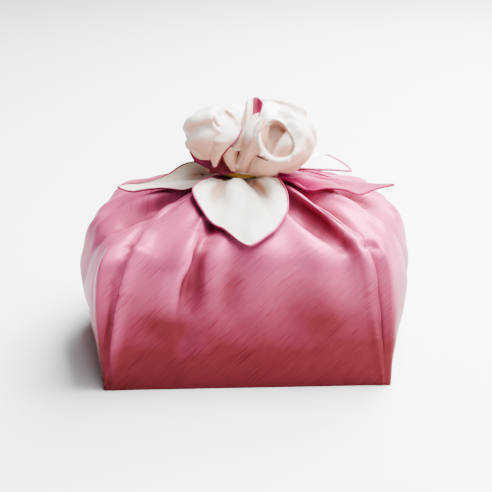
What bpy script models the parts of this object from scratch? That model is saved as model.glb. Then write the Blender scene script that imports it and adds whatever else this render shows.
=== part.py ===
"""A square of two-layer cloth wrapped round a box and gathered over it by an elastic band.

The outer square is pink and the lining square is cream. They are sewn edge to edge. Above the band the
cloth billows into puffs that show the lining, and its four corners come out below the band as leaves.
Metres, +Z up. The origin is the middle of the flat face that the wrap rests on, and the front is -Y.
Tables are in millimetres and degrees; bearings are counter-clockwise from +X, seen from above.
"""

import math
from collections import namedtuple

import bmesh
import bpy
import numpy as np
from mathutils import Vector
from mathutils.bvhtree import BVHTree

MM = 0.001

# The bundle: the size of the box shape that the cloth follows, and the gathered neck over it
BUNDLE_WIDTH = 280.0
BUNDLE_DEPTH = 250.0
EDGE_HEIGHT = 141.0
NECK_HEIGHT = 179.0
NECK_RADIUS = 15.5
NECK_SWEEP = 78.0  # distance from the axis at which a fold turns in to its bearing
EDGE_ROUNDING = 8.5
CLOTH = 1.2  # thickness of one layer
GAP = 0.6  # between the two layers, and between pieces

# The neck above the bundle: outer cloth inside, lining round it, band round both
CORE_TOP = 189.0
SOCKET_RADIUS = 16.0
BAND_HEIGHT = 187.4
BAND_TURNS = 3
BAND_CORD = 1.25
BAND_RADIUS = 20.4

# The leaves start at the neck between these heights, with a strip of outer cloth round the lining
LEAF_FOOT = 182.6
LEAF_CORE = 13.5
LEAF_WALL = 17.2
LEAF_CLEAR = 23.0
LEAF_RIM = 2.2
LEAF_HELD_ROWS = 3  # rows of a leaf between the core and the clear of the band
LEAF_REST = 3.8  # least height of a leaf's middle over the bundle
LEAF_FEEL = 6.0  # how far round a point the bundle is felt for
LIFT_SPREADS = 4  # times that a lift over the bundle is shared with the points round it
BOW_PEAK = 6.75  # a rib's bow is greatest a third of the way along it
BOW_LEAN = 2.0

# Mesh steps
STEPS_ACROSS_FOLD = 2
ROWS_UP_SIDE = 8
ROWS_OVER_TOP = 11
STEPS_ACROSS_RIB = 2
ROWS_ALONG_LEAF = 5
PUFF_TURNS = 24
PUFF_ROWS = 10
MOUTH_RINGS = (0.15, 0.5, 0.75, 0.95, 1.15)  # as shares of the mouth's half angle
COLLAR_STEPS = 44
BAND_STEPS = 32
FINE_STEPS = 160

# One row for each fold line round the bundle, in order, starting at the front left corner.
# base and top say where it meets the base and the upper edge: side 0 is the front, 1 the right, 2 the back
# and 3 the left, and the fraction is the share of that side. low, mid and edge are how far it stands out
# from the box shape going up the side, dome and rim how far it rises over the slope going up to the neck.
Fold = namedtuple("Fold", "name base top bearing low mid edge dome rim crease")
FOLDS = (
    Fold("front_left_corner", 0.000, 0.002, 194, 2, 6, -1, -2, -1, 0.5),
    Fold("front_left_gusset", 0.006, 0.050, 197, 2, 2, -1, -4, -3, 0.0),
    Fold("front_left_tuck", 0.012, 0.122, 199, 0, -2, -4, -6, -4, 0.6),
    Fold("front_left_lap", 0.018, 0.098, 201, 2, 4, 5, 5, 4, 0.8),
    Fold("front_left_roll", 0.100, 0.165, 214, 0, 2, 5, 9, 8, 0.0),
    Fold("left_pleat_ridge", 0.225, 0.303, 238, 0, 4, 8, 7, 5, 0.6),
    Fold("left_pleat_valley", 0.275, 0.335, 246, 0, -4, -5, -7, -6, 0.3),
    Fold("front_swell", 0.370, 0.400, 256, 0, 2, 1, 0, -2, 0.0),
    Fold("front_hollow", 0.470, 0.480, 266, 0, -2, -3, -1, -2, 0.0),
    Fold("middle_swell", 0.560, 0.580, 277, 0, 1, 2, 1, -2, 0.0),
    Fold("right_hollow", 0.670, 0.680, 289, 0, -3, 0, 0, -2, 0.0),
    Fold("right_swell", 0.780, 0.770, 300, 0, 2, 3, 1, -1, 0.0),
    Fold("right_valley", 0.880, 0.865, 316, 0, -1, -3, -10, -8, 0.2),
    Fold("front_right_roll", 0.970, 0.925, 334, 1, 3, 5, 8, 9, 0.3),
    Fold("front_right_lap", 0.979, 0.940, 341, 2, 4, 4, 4, 4, 0.8),
    Fold("front_right_tuck", 0.986, 0.912, 344, 0, -2, -4, -6, -5, 0.6),
    Fold("front_right_gusset", 0.993, 0.960, 346, 1, 0, -2, -4, -3, 0.0),
    Fold("front_right_corner", 1.000, 0.998, 349, 2, 3, -3, -2, -1, 0.5),
    Fold("right_facet", 1.120, 1.120, 352, 9, 17, 6, 2, 2, 0.0),
    Fold("right_front_ridge", 1.270, 1.260, 356, 14, 26, 12, 7, 8, 0.4),
    Fold("right_groove", 1.420, 1.420, 3, 17, 31, 20, -7, -6, 0.2),
    Fold("right_ridge", 1.560, 1.570, 12, 17, 34, 26, 7, 8, 0.3),
    Fold("right_back_groove", 1.720, 1.720, 24, 12, 24, 17, -3, -5, 0.0),
    Fold("back_right_roll", 1.870, 1.860, 36, 6, 12, 8, 7, 7, 0.2),
    Fold("back_right_corner", 2.000, 1.998, 46, 2, 5, -1, 0, -2, 0.5),
    Fold("back_right_gusset", 2.006, 2.040, 50, 1, 0, -2, -4, -3, 0.0),
    Fold("back_right_tuck", 2.012, 2.108, 53, 0, -2, -3, -6, -4, 0.6),
    Fold("back_right_lap", 2.018, 2.085, 57, 2, 4, 5, 6, 6, 0.8),
    Fold("back_right_groove", 2.160, 2.170, 68, 0, -1, -2, -6, -5, 0.0),
    Fold("back_roll", 2.300, 2.280, 78, 0, 2, 4, 8, 8, 0.0),
    Fold("back_hollow", 2.500, 2.500, 92, 0, -2, -2, -3, -4, 0.0),
    Fold("back_second_roll", 2.700, 2.720, 106, 0, 2, 3, 7, 7, 0.0),
    Fold("back_left_groove", 2.840, 2.830, 118, 0, -1, -2, -6, -5, 0.0),
    Fold("back_left_lap", 2.982, 2.915, 128, 2, 4, 5, 7, 7, 0.8),
    Fold("back_left_tuck", 2.988, 2.892, 132, 0, -2, -3, -6, -4, 0.6),
    Fold("back_left_gusset", 2.994, 2.960, 136, 1, 0, -2, -4, -3, 0.0),
    Fold("back_left_corner", 3.000, 3.002, 142, 2, 5, -1, 2, 2, 0.5),
    Fold("back_left_roll", 3.100, 3.100, 150, 8, 12, 8, 8, 8, 0.2),
    Fold("left_back_groove", 3.240, 3.240, 158, 12, 20, 13, -4, -6, 0.0),
    Fold("left_roll", 3.400, 3.400, 168, 16, 29, 20, 12, 10, 0.1),
    Fold("left_groove", 3.530, 3.530, 177, 17, 35, 18, -3, -4, 0.2),
    Fold("left_ridge", 3.620, 3.620, 183, 16, 31, 12, 5, 6, 0.5),
    Fold("left_hollow", 3.760, 3.760, 188, 12, 22, 6, -8, -6, 0.1),
    Fold("left_facet", 3.900, 3.890, 191, 8, 14, 0, -1, 0, 0.2),
)
SIDE_STATIONS = (0.0, 0.2, 0.55, 1.0)
TOP_STATIONS = (0.0, 0.45, 0.8, 1.0)
BASE_SHARE = 0.35  # of a fold's low reach, where it meets the base
LEAN_POWER = 1.5  # a fold line moves along its side mostly near the upper edge
CORNER_TURN = 0.05  # share of a side over which its outward direction turns at a corner
SLOPE_POWER = 1.12
SLOPE_CROWN = 4.0

# One row for each rib of a leaf, in order across it: where it leaves the neck, where it ends, how far its
# middle bows up, and how sharp the fold along it is. A leaf's outline runs through the ends of its ribs.
Rib = namedtuple("Rib", "leaf name root x y z bow crease")
RIBS = (
    Rib("front", "left_hem", 226, -34, -21, 183, 3, 0.0),
    Rib("front", "left_shoulder", 231, -43, -33, 179, 6, 0.0),
    Rib("front", "left_lobe", 238, -49, -50, 174, 7, 0.0),
    Rib("front", "left_flute", 248, -38, -80, 161, -7, 0.2),
    Rib("front", "left_ridge", 258, -21, -97, 155, 6, 0.5),
    Rib("front", "tip", 270, 6, -121, 147, 2, 0.3),
    Rib("front", "right_crease", 284, 29, -103, 151, -6, 0.6),
    Rib("front", "right_swell", 293, 41, -77, 163, 7, 0.2),
    Rib("front", "right_lobe", 302, 43, -52, 172, 6, 0.0),
    Rib("front", "right_shoulder", 309, 41, -37, 178, 4, 0.0),
    Rib("front", "right_hem", 314, 35, -25, 182, 3, 0.0),
    Rib("left", "back_hem", 144, -40, 13, 194, 2, 0.0),
    Rib("left", "back_shoulder", 153, -57, 10, 193, 3, 0.0),
    Rib("left", "back_side", 162, -79, 5, 182, 2, 0.0),
    Rib("left", "back_taper", 171, -103, 2, 175, 1, 0.0),
    Rib("left", "tip", 179, -128, 0, 172, -3, 0.3),
    Rib("left", "front_taper", 186, -107, -12, 167, -5, 0.0),
    Rib("left", "front_side", 193, -80, -18, 169, -4, 0.0),
    Rib("left", "front_shoulder", 200, -58, -20, 173, -2, 0.0),
    Rib("left", "front_hem", 207, -38, -19, 178, 0, 0.0),
    Rib("right", "front_hem", 334, 52, -31, 177, 2, 0.0),
    Rib("right", "front_shoulder", 339, 76, -36, 169, 2, 0.0),
    Rib("right", "front_lobe", 344, 101, -34, 162, 3, 0.2),
    Rib("right", "front_side", 349, 119, -21, 165, 1, 0.0),
    Rib("right", "front_taper", 354, 134, -10, 167, 0, 0.0),
    Rib("right", "tip", 358, 154, 0, 168, -2, 0.3),
    Rib("right", "back_taper", 2, 118, 4, 169, 3, 0.0),
    Rib("right", "back_side", 7, 97, 6, 173, 3, 0.0),
    Rib("right", "back_shoulder", 13, 78, 9, 178, 2, 0.0),
    Rib("right", "back_hem", 19, 57, 13, 180, 2, 0.0),
    Rib("back", "front_hem", 38, 92, 15, 181, 2, 0.0),
    Rib("back", "front_side", 46, 112, 28, 176, 3, 0.2),
    Rib("back", "front_lobe", 54, 104, 44, 180, 5, 0.0),
    Rib("back", "front_swell", 62, 90, 58, 184, 6, 0.3),
    Rib("back", "tip", 71, 78, 84, 170, -2, 0.3),
    Rib("back", "back_lobe", 81, 50, 76, 173, 4, 0.0),
    Rib("back", "back_shoulder", 92, 26, 58, 176, 1, 0.0),
    Rib("back", "back_hem", 102, 4, 39, 179, 0, 0.0),
)
LINED_LEAVES = ("front", "left", "back")  # the right leaf is twisted, and shows its outer cloth

# One row for each puff: its middle, its half sizes, where its mouth faces, half the mouth's angle and how
# deep the mouth goes as a share of the puff. Each puff is drawn in to the neck at the root.
Puff = namedtuple("Puff", "name x y z wide long high bearing rise mouth depth")
PUFFS = (
    Puff("left", -30, -4, 228, 29, 29, 28, 322, 44, 30, 0.16),
    Puff("right", 34, -12, 220, 42, 36, 33, 266, 22, 29, 0.58),
    Puff("back_right", 35, 22, 226, 37, 31, 30, 55, 55, 34, 0.20),
    Puff("back_left", -12, 24, 219, 36, 30, 30, 120, 48, 34, 0.20),
)
ROOT = (2, -2, 202)
ROOT_HOLD = 0.62
ROOT_FROM = 0.1

# One row for each main fold on a puff, from one direction to another, seen from the puff's middle.
# width is an angle, and height is in millimetres: a ridge stands out and a groove is below zero.
Crease = namedtuple("Crease", "puff name bearing rise to_bearing to_rise width height")
CREASES = (
    Crease("left", "brow", 172, 12, 268, 50, 11, 3.0),
    Crease("left", "under_brow", 185, -6, 262, 28, 10, -3.5),
    Crease("left", "outer_drag", 190, -14, 300, -50, 8, 2.5),
    Crease("left", "inner_drag", 205, -36, 310, -60, 7, -2.5),
    Crease("left", "back_ridge", 120, 20, 20, -40, 12, 3.0),
    Crease("left", "back_groove", 150, 10, 60, -55, 11, -3.5),
    Crease("right", "mouth_lip", 238, 24, 268, -12, 9, 3.5),
    Crease("right", "lower_lip", 268, -12, 306, 2, 9, 3.5),
    Crease("right", "cone_groove", 243, -8, 228, -66, 9, -4.5),
    Crease("right", "lower_lobe", 262, -34, 232, -68, 9, 3.0),
    Crease("right", "side_groove", 322, -6, 250, -60, 10, -3.0),
    Crease("right", "crown_groove", 290, 74, 292, 44, 9, -3.5),
    Crease("right", "crown_ridge", 320, 66, 306, 34, 11, 3.0),
    Crease("right", "far_groove", 350, 40, 345, -40, 11, -3.0),
    Crease("right", "back_ridge", 20, 30, 30, -50, 13, 3.0),
    Crease("back_right", "crown_groove", 300, 50, 350, 20, 11, -3.0),
    Crease("back_right", "outer_groove", 20, 30, 10, -50, 12, -3.5),
    Crease("back_right", "back_groove", 80, 25, 110, -50, 12, -3.5),
    Crease("back_right", "back_ridge", 50, 25, 60, -50, 12, 3.0),
    Crease("back_left", "back_groove", 100, 20, 70, -50, 12, -3.5),
    Crease("back_left", "side_groove", 165, 25, 160, -45, 12, -3.5),
    Crease("back_left", "side_ridge", 135, 15, 120, -50, 12, 3.0),
)

# Free strips of lining among the puffs, one row for each section, by its left edge, middle and right edge
Section = namedtuple("Section", "strip name ax ay az bx by bz cx cy cz")
SECTIONS = (
    Section("flap", "top", -30, -19, 245, -16, -25, 242, -1, -21, 238),
    Section("flap", "upper", -35, -22, 235, -21, -32, 235, -6, -31, 231),
    Section("flap", "middle", -37, -22, 223, -26, -35, 224, -15, -35, 222),
    Section("flap", "lower", -34, -22, 212, -28, -34, 213, -22, -34, 213),
    Section("flap", "point", -31, -22, 201, -29, -27, 200, -27, -26, 200),
    Section("wall", "top", 5, -4, 256, 5, -10, 263, 10, -9, 264),
    Section("wall", "upper", 2, -8, 246, 4, -20, 253, 9, -17, 253),
    Section("wall", "middle", -1, -10, 234, 2, -27, 240, 8, -24, 238),
    Section("wall", "lower", -9, -10, 221, -4, -29, 229, 4, -28, 229),
    Section("wall", "foot", -19, -12, 211, -12, -27, 217, -2, -27, 217),
    Section("channel", "top", 10, -8, 264, 16, 4, 263, 22, -9, 259),
    Section("channel", "upper", 9, -14, 253, 15, 0, 252, 20, -17, 253),
    Section("channel", "middle", 8, -20, 245, 13, -8, 241, 15, -24, 245),
    Section("channel", "foot", 8, -25, 236, 9, -20, 233, 11, -28, 236),
    Section("shoulder", "top", 21, -8, 259, 29, 0, 259, 38, 4, 254),
    Section("shoulder", "upper", 21, -16, 254, 28, -14, 255, 38, -6, 251),
    Section("shoulder", "middle", 18, -24, 245, 24, -31, 252, 33, -24, 249),
    Section("shoulder", "foot", 13, -28, 234, 20, -36, 243, 28, -32, 244),
    Section("petal", "top", 14, -29, 243, 19, -36, 250, 28, -28, 249),
    Section("petal", "upper", 8, -26, 233, 14, -41, 240, 25, -34, 239),
    Section("petal", "middle", 0, -22, 220, 10, -43, 228, 24, -36, 226),
    Section("petal", "lower", -5, -20, 208, 5, -39, 215, 19, -34, 213),
    Section("petal", "foot", -9, -18, 199, 0, -32, 202, 12, -24, 201),
    Section("petal", "band", -11, -18, 193, -2, -24, 192, 9, -19, 191),
    Section("ruffle", "top", -21, -27, 217, -14, -31, 220, -5, -24, 219),
    Section("ruffle", "middle", -18, -27, 206, -12, -30, 207, -6, -22, 206),
    Section("ruffle", "foot", -12, -24, 194, -8, -25, 194, -5, -20, 193),
    Section("tuck", "top", -30, -24, 208, -22, -20, 212, -13, -20, 213),
    Section("tuck", "middle", -32, -23, 199, -22, -22, 202, -12, -21, 202),
    Section("tuck", "foot", -34, -20, 191, -23, -25, 192, -10, -21, 191),
    Section("under", "top", -56, 6, 213, -44, 2, 211, -30, -8, 207),
    Section("under", "middle", -54, 4, 205, -43, -2, 203, -30, -14, 201),
    Section("under", "foot", -50, -2, 198, -41, -8, 195, -30, -18, 192),
    Section("lobe", "top", 14, -40, 213, 23, -51, 212, 35, -48, 208),
    Section("lobe", "middle", 9, -33, 202, 20, -44, 201, 35, -40, 199),
    Section("lobe", "foot", 6, -24, 192, 19, -27, 189, 33, -20, 187),
    Section("inner", "top", 46, -36, 238, 51, -38, 235, 56, -36, 228),
    Section("inner", "middle", 36, -40, 227, 45, -45, 226, 54, -42, 221),
    Section("inner", "foot", 27, -42, 212, 37, -48, 214, 47, -46, 214),
)

# The collar of small folds above the band, by height and radius, and its folds round the neck
Ring = namedtuple("Ring", "z radius flute")
COLLAR = (
    Ring(183.3, 18.5, 0.0),
    Ring(191.2, 18.5, 0.2),
    Ring(194.6, 23.0, 0.8),
    Ring(199.0, 26.0, 1.0),
    Ring(204.0, 22.0, 0.6),
    Ring(206.0, 11.0, 0.2),
)
COLLAR_FOLDS = 11
COLLAR_FLUTE = 2.2


def steps(low, high, count):
    """count + 1 even steps from low to high."""
    return np.linspace(low, high, count + 1)


def curve_through(places, values, at):
    """A smooth curve through values at places, read at the given places."""
    places = np.asarray(places, float)
    values = np.asarray(values, float)
    slopes = np.gradient(values, places)
    i = np.clip(np.searchsorted(places, at, side="right") - 1, 0, len(places) - 2)
    wide = places[i + 1] - places[i]
    t = (at - places[i]) / wide
    return (
        values[i] * (1 + 2 * t) * (1 - t) ** 2
        + slopes[i] * wide * t * (1 - t) ** 2
        + values[i + 1] * t * t * (3 - 2 * t)
        + slopes[i + 1] * wide * t * t * (t - 1)
    )


def direction(bearing):
    """Unit vectors in plan at these bearings in degrees."""
    turn = np.radians(bearing)
    return np.stack([np.cos(turn), np.sin(turn)], axis=-1)


def box_plan(along):
    """The point of the box shape's outline at a side number and share, and the way out from it."""
    corners = np.array([(-1, -1), (1, -1), (1, 1), (-1, 1)], float)
    corners *= (BUNDLE_WIDTH / 2, BUNDLE_DEPTH / 2)
    side = np.floor(along).astype(int) % 4
    share = (along - np.floor(along))[:, None]
    point = corners[side] * (1 - share) + corners[(side + 1) % 4] * share
    nearest = np.round(along)
    turn = np.clip((along - nearest) / CORNER_TURN, -1, 1)
    facing = nearest * 90 - 135 + turn * 45
    return point, direction(facing)


def softened(line, reach):
    """A line of points with its bends rounded over that reach, and its ends kept."""
    spans = np.linalg.norm(np.diff(line, axis=0), axis=1)
    length = spans.sum()
    even = np.linspace(0, length, FINE_STEPS + 1)
    along = np.concatenate([[0], np.cumsum(spans)])
    points = np.stack([np.interp(even, along, line[:, k]) for k in range(3)], axis=1)
    lag = even[:, None] - even[None, :]
    weight = np.exp(-0.5 * (lag / reach) ** 2)
    room = np.minimum(even, length - even)
    weight = np.where(np.abs(lag) <= room[:, None] + 1e-6, weight, 0)
    smooth = weight @ points / weight.sum(axis=1, keepdims=True)
    return np.stack([np.interp(along, even, smooth[:, k]) for k in range(3)], axis=1)


def fold_line(fold, side_steps, top_steps):
    """One fold line from the base, up the side and over the top to the neck."""
    foot = fold.low * BASE_SHARE
    share = fold.base + (fold.top - fold.base) * side_steps**LEAN_POWER
    out = curve_through(SIDE_STATIONS, (foot, fold.low, fold.mid, fold.edge), side_steps)
    point, facing = box_plan(share)
    side = np.column_stack([point + facing * out[:, None], EDGE_HEIGHT * side_steps])
    start = side[-1, :2]
    bend = NECK_SWEEP * direction(fold.bearing)
    end = NECK_RADIUS * direction(fold.bearing)
    t = top_steps[1:, None]
    plan = start * (1 - t) ** 2 + bend * 2 * t * (1 - t) + end * t * t
    t = top_steps[1:]
    rise = curve_through(TOP_STATIONS, (0, fold.dome, fold.rim, 0), t)
    height = EDGE_HEIGHT + (NECK_HEIGHT - EDGE_HEIGHT) * t**SLOPE_POWER
    height += SLOPE_CROWN * 4 * t * (1 - t) + rise
    return np.vstack([side, np.column_stack([plan, height])])


def ring_through(points, creases, count, closed=True):
    """A smooth curve through points, with count steps between each two."""
    if not closed:
        ends = 2 * points[[0, -1]] - points[[1, -2]]
        points = np.vstack([ends[:1], points, ends[1:]])
        creases = np.concatenate([[0], creases, [0]])
    after = np.roll(points, -1, axis=0)
    ahead = np.linalg.norm(after - points, axis=1)[:, None] + 1e-9
    behind = np.roll(ahead, 1, axis=0)
    way = behind * (after - points) / ahead
    way = way + ahead * (points - np.roll(points, 1, axis=0)) / behind
    way = way / (ahead + behind) * (1 - creases)[:, None]
    after_way = np.roll(way, -1, axis=0)
    t = (np.arange(count) / count)[None, :, None]
    p, q, a, b, d = (x[:, None, :] for x in (points, after, way, after_way, ahead))
    ring = (
        p * (1 + 2 * t) * (1 - t) ** 2
        + a * d * t * (1 - t) ** 2
        + q * t * t * (3 - 2 * t)
        + b * d * t * t * (t - 1)
    )
    if closed:
        return ring.reshape(-1, 3)
    return np.vstack([ring[1:-2].reshape(-1, 3), points[-2:-1]])


def bundle_rings():
    """The rings of points that make the bundle, from its base to the neck."""
    side_steps = steps(0, 1, FINE_STEPS // 2)
    top_steps = steps(0, 1, FINE_STEPS // 2)
    lines = np.stack(
        [softened(fold_line(f, side_steps, top_steps), EDGE_ROUNDING) for f in FOLDS]
    )
    creases = np.array([f.crease for f in FOLDS])
    wanted = np.concatenate(
        [
            steps(0, FINE_STEPS // 2, ROWS_UP_SIDE),
            steps(FINE_STEPS // 2, FINE_STEPS, ROWS_OVER_TOP)[1:],
        ]
    )
    rings = [
        ring_through(lines[:, int(round(row))], creases, STEPS_ACROSS_FOLD)
        for row in wanted
    ]
    return rings


def skin(rings):
    """A bmesh of closed rings of equal count, skinned in order and capped at both ends."""
    mesh = bmesh.new()
    loops = [[mesh.verts.new(Vector(p) * MM) for p in ring] for ring in rings]
    for lower, upper in zip(loops, loops[1:]):
        for i in range(len(lower)):
            j = (i + 1) % len(lower)
            mesh.faces.new((lower[i], lower[j], upper[j], upper[i]))
    mesh.faces.new(loops[0][::-1])
    mesh.faces.new(loops[-1])
    bmesh.ops.recalc_face_normals(mesh, faces=mesh.faces)
    return mesh


def grid_normals(grid):
    """The unit normals of a grid of points, upwards for a level grid that runs out and counter-clockwise."""
    out = np.gradient(grid, axis=0)
    across = np.gradient(grid, axis=1)
    normal = np.cross(out, across)
    return normal / (np.linalg.norm(normal, axis=2, keepdims=True) + 1e-9)


def slab(grid, normal, low, high):
    """A closed bmesh between two offsets of a grid of points along its normals."""
    mesh = bmesh.new()
    rows, columns = grid.shape[:2]
    layers = [
        [[mesh.verts.new(Vector(p) * MM) for p in row] for row in grid + normal * offset]
        for offset in (low, high)
    ]
    for i in range(rows - 1):
        for j in range(columns - 1):
            for layer in layers:
                mesh.faces.new((layer[i][j], layer[i + 1][j], layer[i + 1][j + 1]))
                mesh.faces.new((layer[i][j], layer[i + 1][j + 1], layer[i][j + 1]))
    around = [(i, 0) for i in range(rows)]
    around += [(rows - 1, j) for j in range(1, columns)]
    around += [(i, columns - 1) for i in range(rows - 2, -1, -1)]
    around += [(0, j) for j in range(columns - 2, 0, -1)]
    for (i, j), (k, m) in zip(around, around[1:] + around[:1]):
        mesh.faces.new((layers[0][i][j], layers[0][k][m], layers[1][k][m], layers[1][i][j]))
    bmesh.ops.recalc_face_normals(mesh, faces=mesh.faces)
    return mesh


def leaf_grid(leaf, bundle):
    """A leaf's middle surface from the neck outwards, lying on the bundle where it reaches it."""
    ribs = [rib for rib in RIBS if rib.leaf == leaf]
    creases = np.array([rib.crease for rib in ribs])
    start = np.array([(*(LEAF_CLEAR * direction(rib.root)), LEAF_FOOT) for rib in ribs])
    end = np.array([(rib.x, rib.y, rib.z) for rib in ribs], float)
    bow = np.array([rib.bow for rib in ribs])
    grid = []
    for radius in (LEAF_CORE, LEAF_WALL):
        points = start * (radius / LEAF_CLEAR, radius / LEAF_CLEAR, 1)
        grid.append(ring_through(points, creases, STEPS_ACROSS_RIB, closed=False))
    for t in steps(0, 1, ROWS_ALONG_LEAF):
        points = start * (1 - t) + end * t
        points[:, 2] += bow * BOW_PEAK * t * (1 - t) ** BOW_LEAN
        grid.append(ring_through(points, creases, STEPS_ACROSS_RIB, closed=False))
    grid = np.array(grid)
    free = grid[LEAF_HELD_ROWS:]
    under = np.array([[height_over(bundle, point) for point in row] for row in free])
    lift = np.maximum(under + LEAF_REST - free[:, :, 2], 0)
    for _ in range(LIFT_SPREADS):
        wide = np.pad(lift, 1, mode="edge")
        beside = (wide[:-2, 1:-1] + wide[2:, 1:-1] + wide[1:-1, :-2] + wide[1:-1, 2:]) / 4
        lift = np.maximum(lift, 0.5 * lift + 0.5 * beside)
    free[:, :, 2] += lift
    return grid


def height_over(tree, point):
    """The greatest height of a surface round about a point, in millimetres."""
    highest = 0.0
    for x, y in ((0, 0), (LEAF_FEEL, 0), (-LEAF_FEEL, 0), (0, LEAF_FEEL), (0, -LEAF_FEEL)):
        high = Vector((point[0] + x, point[1] + y, 400)) * MM
        hit = tree.ray_cast(high, Vector((0, 0, -1)))[0]
        if hit:
            highest = max(highest, hit.z / MM)
    return highest


def beyond(edge, inner, rim):
    """Points that much further out than an edge, away from the points next to it."""
    way = edge - inner
    return edge + way / np.linalg.norm(way, axis=-1, keepdims=True) * rim


def widened(grid, rim):
    """A leaf's grid with a strip that wide added round its outer edges."""
    held = LEAF_HELD_ROWS
    sides = [grid[:, :1].copy(), grid[:, -1:].copy()]
    sides[0][held:, 0] = beyond(grid[held:, 0], grid[held:, 1], rim)
    sides[1][held:, 0] = beyond(grid[held:, -1], grid[held:, -2], rim)
    for side, edge, inner in ((sides[0], 0, 1), (sides[1], -1, -2)):
        side[:held, 0] = beyond(grid[:held, edge], grid[:held, inner], rim * 0.2)
    wide = np.hstack([sides[0], grid, sides[1]])
    return np.vstack([wide, beyond(wide[-1:], wide[-2:-1], rim)])


def facing(bearing, rise):
    """The unit vector of a bearing and a rise in degrees."""
    turn, lift = math.radians(bearing), math.radians(rise)
    return np.array([math.cos(turn) * math.cos(lift), math.sin(turn) * math.cos(lift), math.sin(lift)])


def smooth_step(low, high, value):
    t = np.clip((value - low) / (high - low), 0, 1)
    return t * t * (3 - 2 * t)


def crease_height(crease, way):
    """How far a fold stands out in each direction from the middle of its puff."""
    first = facing(crease.bearing, crease.rise)
    last = facing(crease.to_bearing, crease.to_rise)
    run = last - first
    t = np.clip((way - first) @ run / (run @ run), 0, 1)
    nearest = first + t[:, None] * run
    nearest /= np.linalg.norm(nearest, axis=1, keepdims=True)
    apart = np.degrees(np.arccos(np.clip((way * nearest).sum(axis=1), -1, 1)))
    return crease.height * np.exp(-((apart / crease.width) ** 2))


def puff_points(puff, way):
    """The points of a puff in each unit direction from its middle."""
    size = np.array([puff.wide, puff.long, puff.high], float)
    middle = np.array([puff.x, puff.y, puff.z], float)
    mouth = facing(puff.bearing, puff.rise)
    apart = np.degrees(np.arccos(np.clip(way @ mouth, -1, 1)))
    reach = 1 - puff.depth * (1 - smooth_step(puff.mouth * 0.45, puff.mouth, apart))
    reach += 0.06 * np.exp(-(((apart - puff.mouth * 1.25) / 8) ** 2))
    raised = sum(crease_height(c, way) for c in CREASES if c.puff == puff.name)
    points = middle + way * (size * reach[:, None] + raised[:, None])
    home = (np.array(ROOT) - middle) / size
    home /= np.linalg.norm(home)
    hold = ROOT_HOLD * smooth_step(ROOT_FROM, 1, way @ home)[:, None]
    return points * (1 - hold) + np.array(ROOT) * hold


def puff_mesh(puff):
    """A puff skinned in rings round its mouth, from the floor of the mouth to the far side."""
    mouth = facing(puff.bearing, puff.rise)
    aside = np.cross(mouth, (0, 0, 1))
    aside /= np.linalg.norm(aside)
    above = np.cross(aside, mouth)
    turn = np.radians(np.linspace(0, 360, PUFF_TURNS, endpoint=False))[:, None]
    angles = np.concatenate(
        [puff.mouth * np.array(MOUTH_RINGS), np.linspace(puff.mouth * 1.4, 172, PUFF_ROWS)]
    )
    rings = []
    for angle in np.radians(angles):
        way = np.cos(angle) * mouth + np.sin(angle) * (np.cos(turn) * aside + np.sin(turn) * above)
        rings.append(puff_points(puff, way))
    return skin(rings)


def strip_mesh(strip, rows, columns):
    """A strip of two layers of cloth through its sections."""
    sections = np.array([s[2:] for s in SECTIONS if s.strip == strip], float)
    down = np.linspace(0, len(sections) - 1, rows)
    lines = np.stack(
        [curve_through(np.arange(len(sections)), sections[:, k], down) for k in range(9)], axis=1
    ).reshape(rows, 3, 3)
    t = np.linspace(0, 1, columns)[None, :, None]
    left, middle, right = (lines[:, k, None] for k in range(3))
    grid = left * (1 - t) * (1 - 2 * t) + middle * 4 * t * (1 - t) + right * t * (2 * t - 1)
    return slab(grid, grid_normals(grid), -CLOTH, CLOTH)


def collar_mesh():
    """The lining round the neck: a socket for the outer cloth below, small folds above the band."""
    bearings = np.linspace(0, 360, COLLAR_STEPS, endpoint=False)
    rings = []
    for z in (CORE_TOP + GAP, COLLAR[0].z):
        rings.append(np.column_stack([SOCKET_RADIUS * direction(bearings), np.full(COLLAR_STEPS, z)]))
    wave = np.cos(np.radians(bearings * COLLAR_FOLDS) + np.sin(np.radians(bearings * 3)))
    for ring in COLLAR:
        radius = ring.radius + COLLAR_FLUTE * ring.flute * wave
        plan = radius[:, None] * direction(bearings)
        rings.append(np.column_stack([plan, np.full(COLLAR_STEPS, ring.z)]))
    return skin(rings)


def band_mesh():
    """The elastic band, its turns side by side as one ring."""
    bearings = np.linspace(0, 360, BAND_STEPS, endpoint=False)
    pitch = BAND_CORD * 1.5
    half = BAND_TURNS * pitch / 2
    round_off = math.radians(24)
    section = [(BAND_CORD * 0.62, -half)]
    for turn in range(BAND_TURNS):
        foot = (turn + 0.5) * pitch - half
        for angle in (-round_off, round_off):
            section.append((BAND_CORD * math.cos(angle), foot + BAND_CORD * math.sin(angle)))
        section.append((BAND_CORD * 0.62, foot + pitch / 2))
    section += [(-BAND_CORD * 0.9, half - 0.4), (-BAND_CORD * 0.9, 0.4 - half)]
    rings = []
    for out, up in section:
        plan = (BAND_RADIUS + out) * direction(bearings)
        rings.append(np.column_stack([plan, np.full(BAND_STEPS, BAND_HEIGHT + up)]))
    mesh = bmesh.new()
    loops = [[mesh.verts.new(Vector(p) * MM) for p in ring] for ring in rings]
    for lower, upper in zip(loops, loops[1:] + loops[:1]):
        for i in range(BAND_STEPS):
            j = (i + 1) % BAND_STEPS
            mesh.faces.new((lower[i], lower[j], upper[j], upper[i]))
    bmesh.ops.recalc_face_normals(mesh, faces=mesh.faces)
    return mesh


def add_object(name, mesh, material):
    """A scene object from a bmesh."""
    data = bpy.data.meshes.new(name)
    mesh.to_mesh(data)
    mesh.free()
    data.materials.append(material)
    obj = bpy.data.objects.new(name, data)
    bpy.context.scene.collection.objects.link(obj)
    return obj


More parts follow.
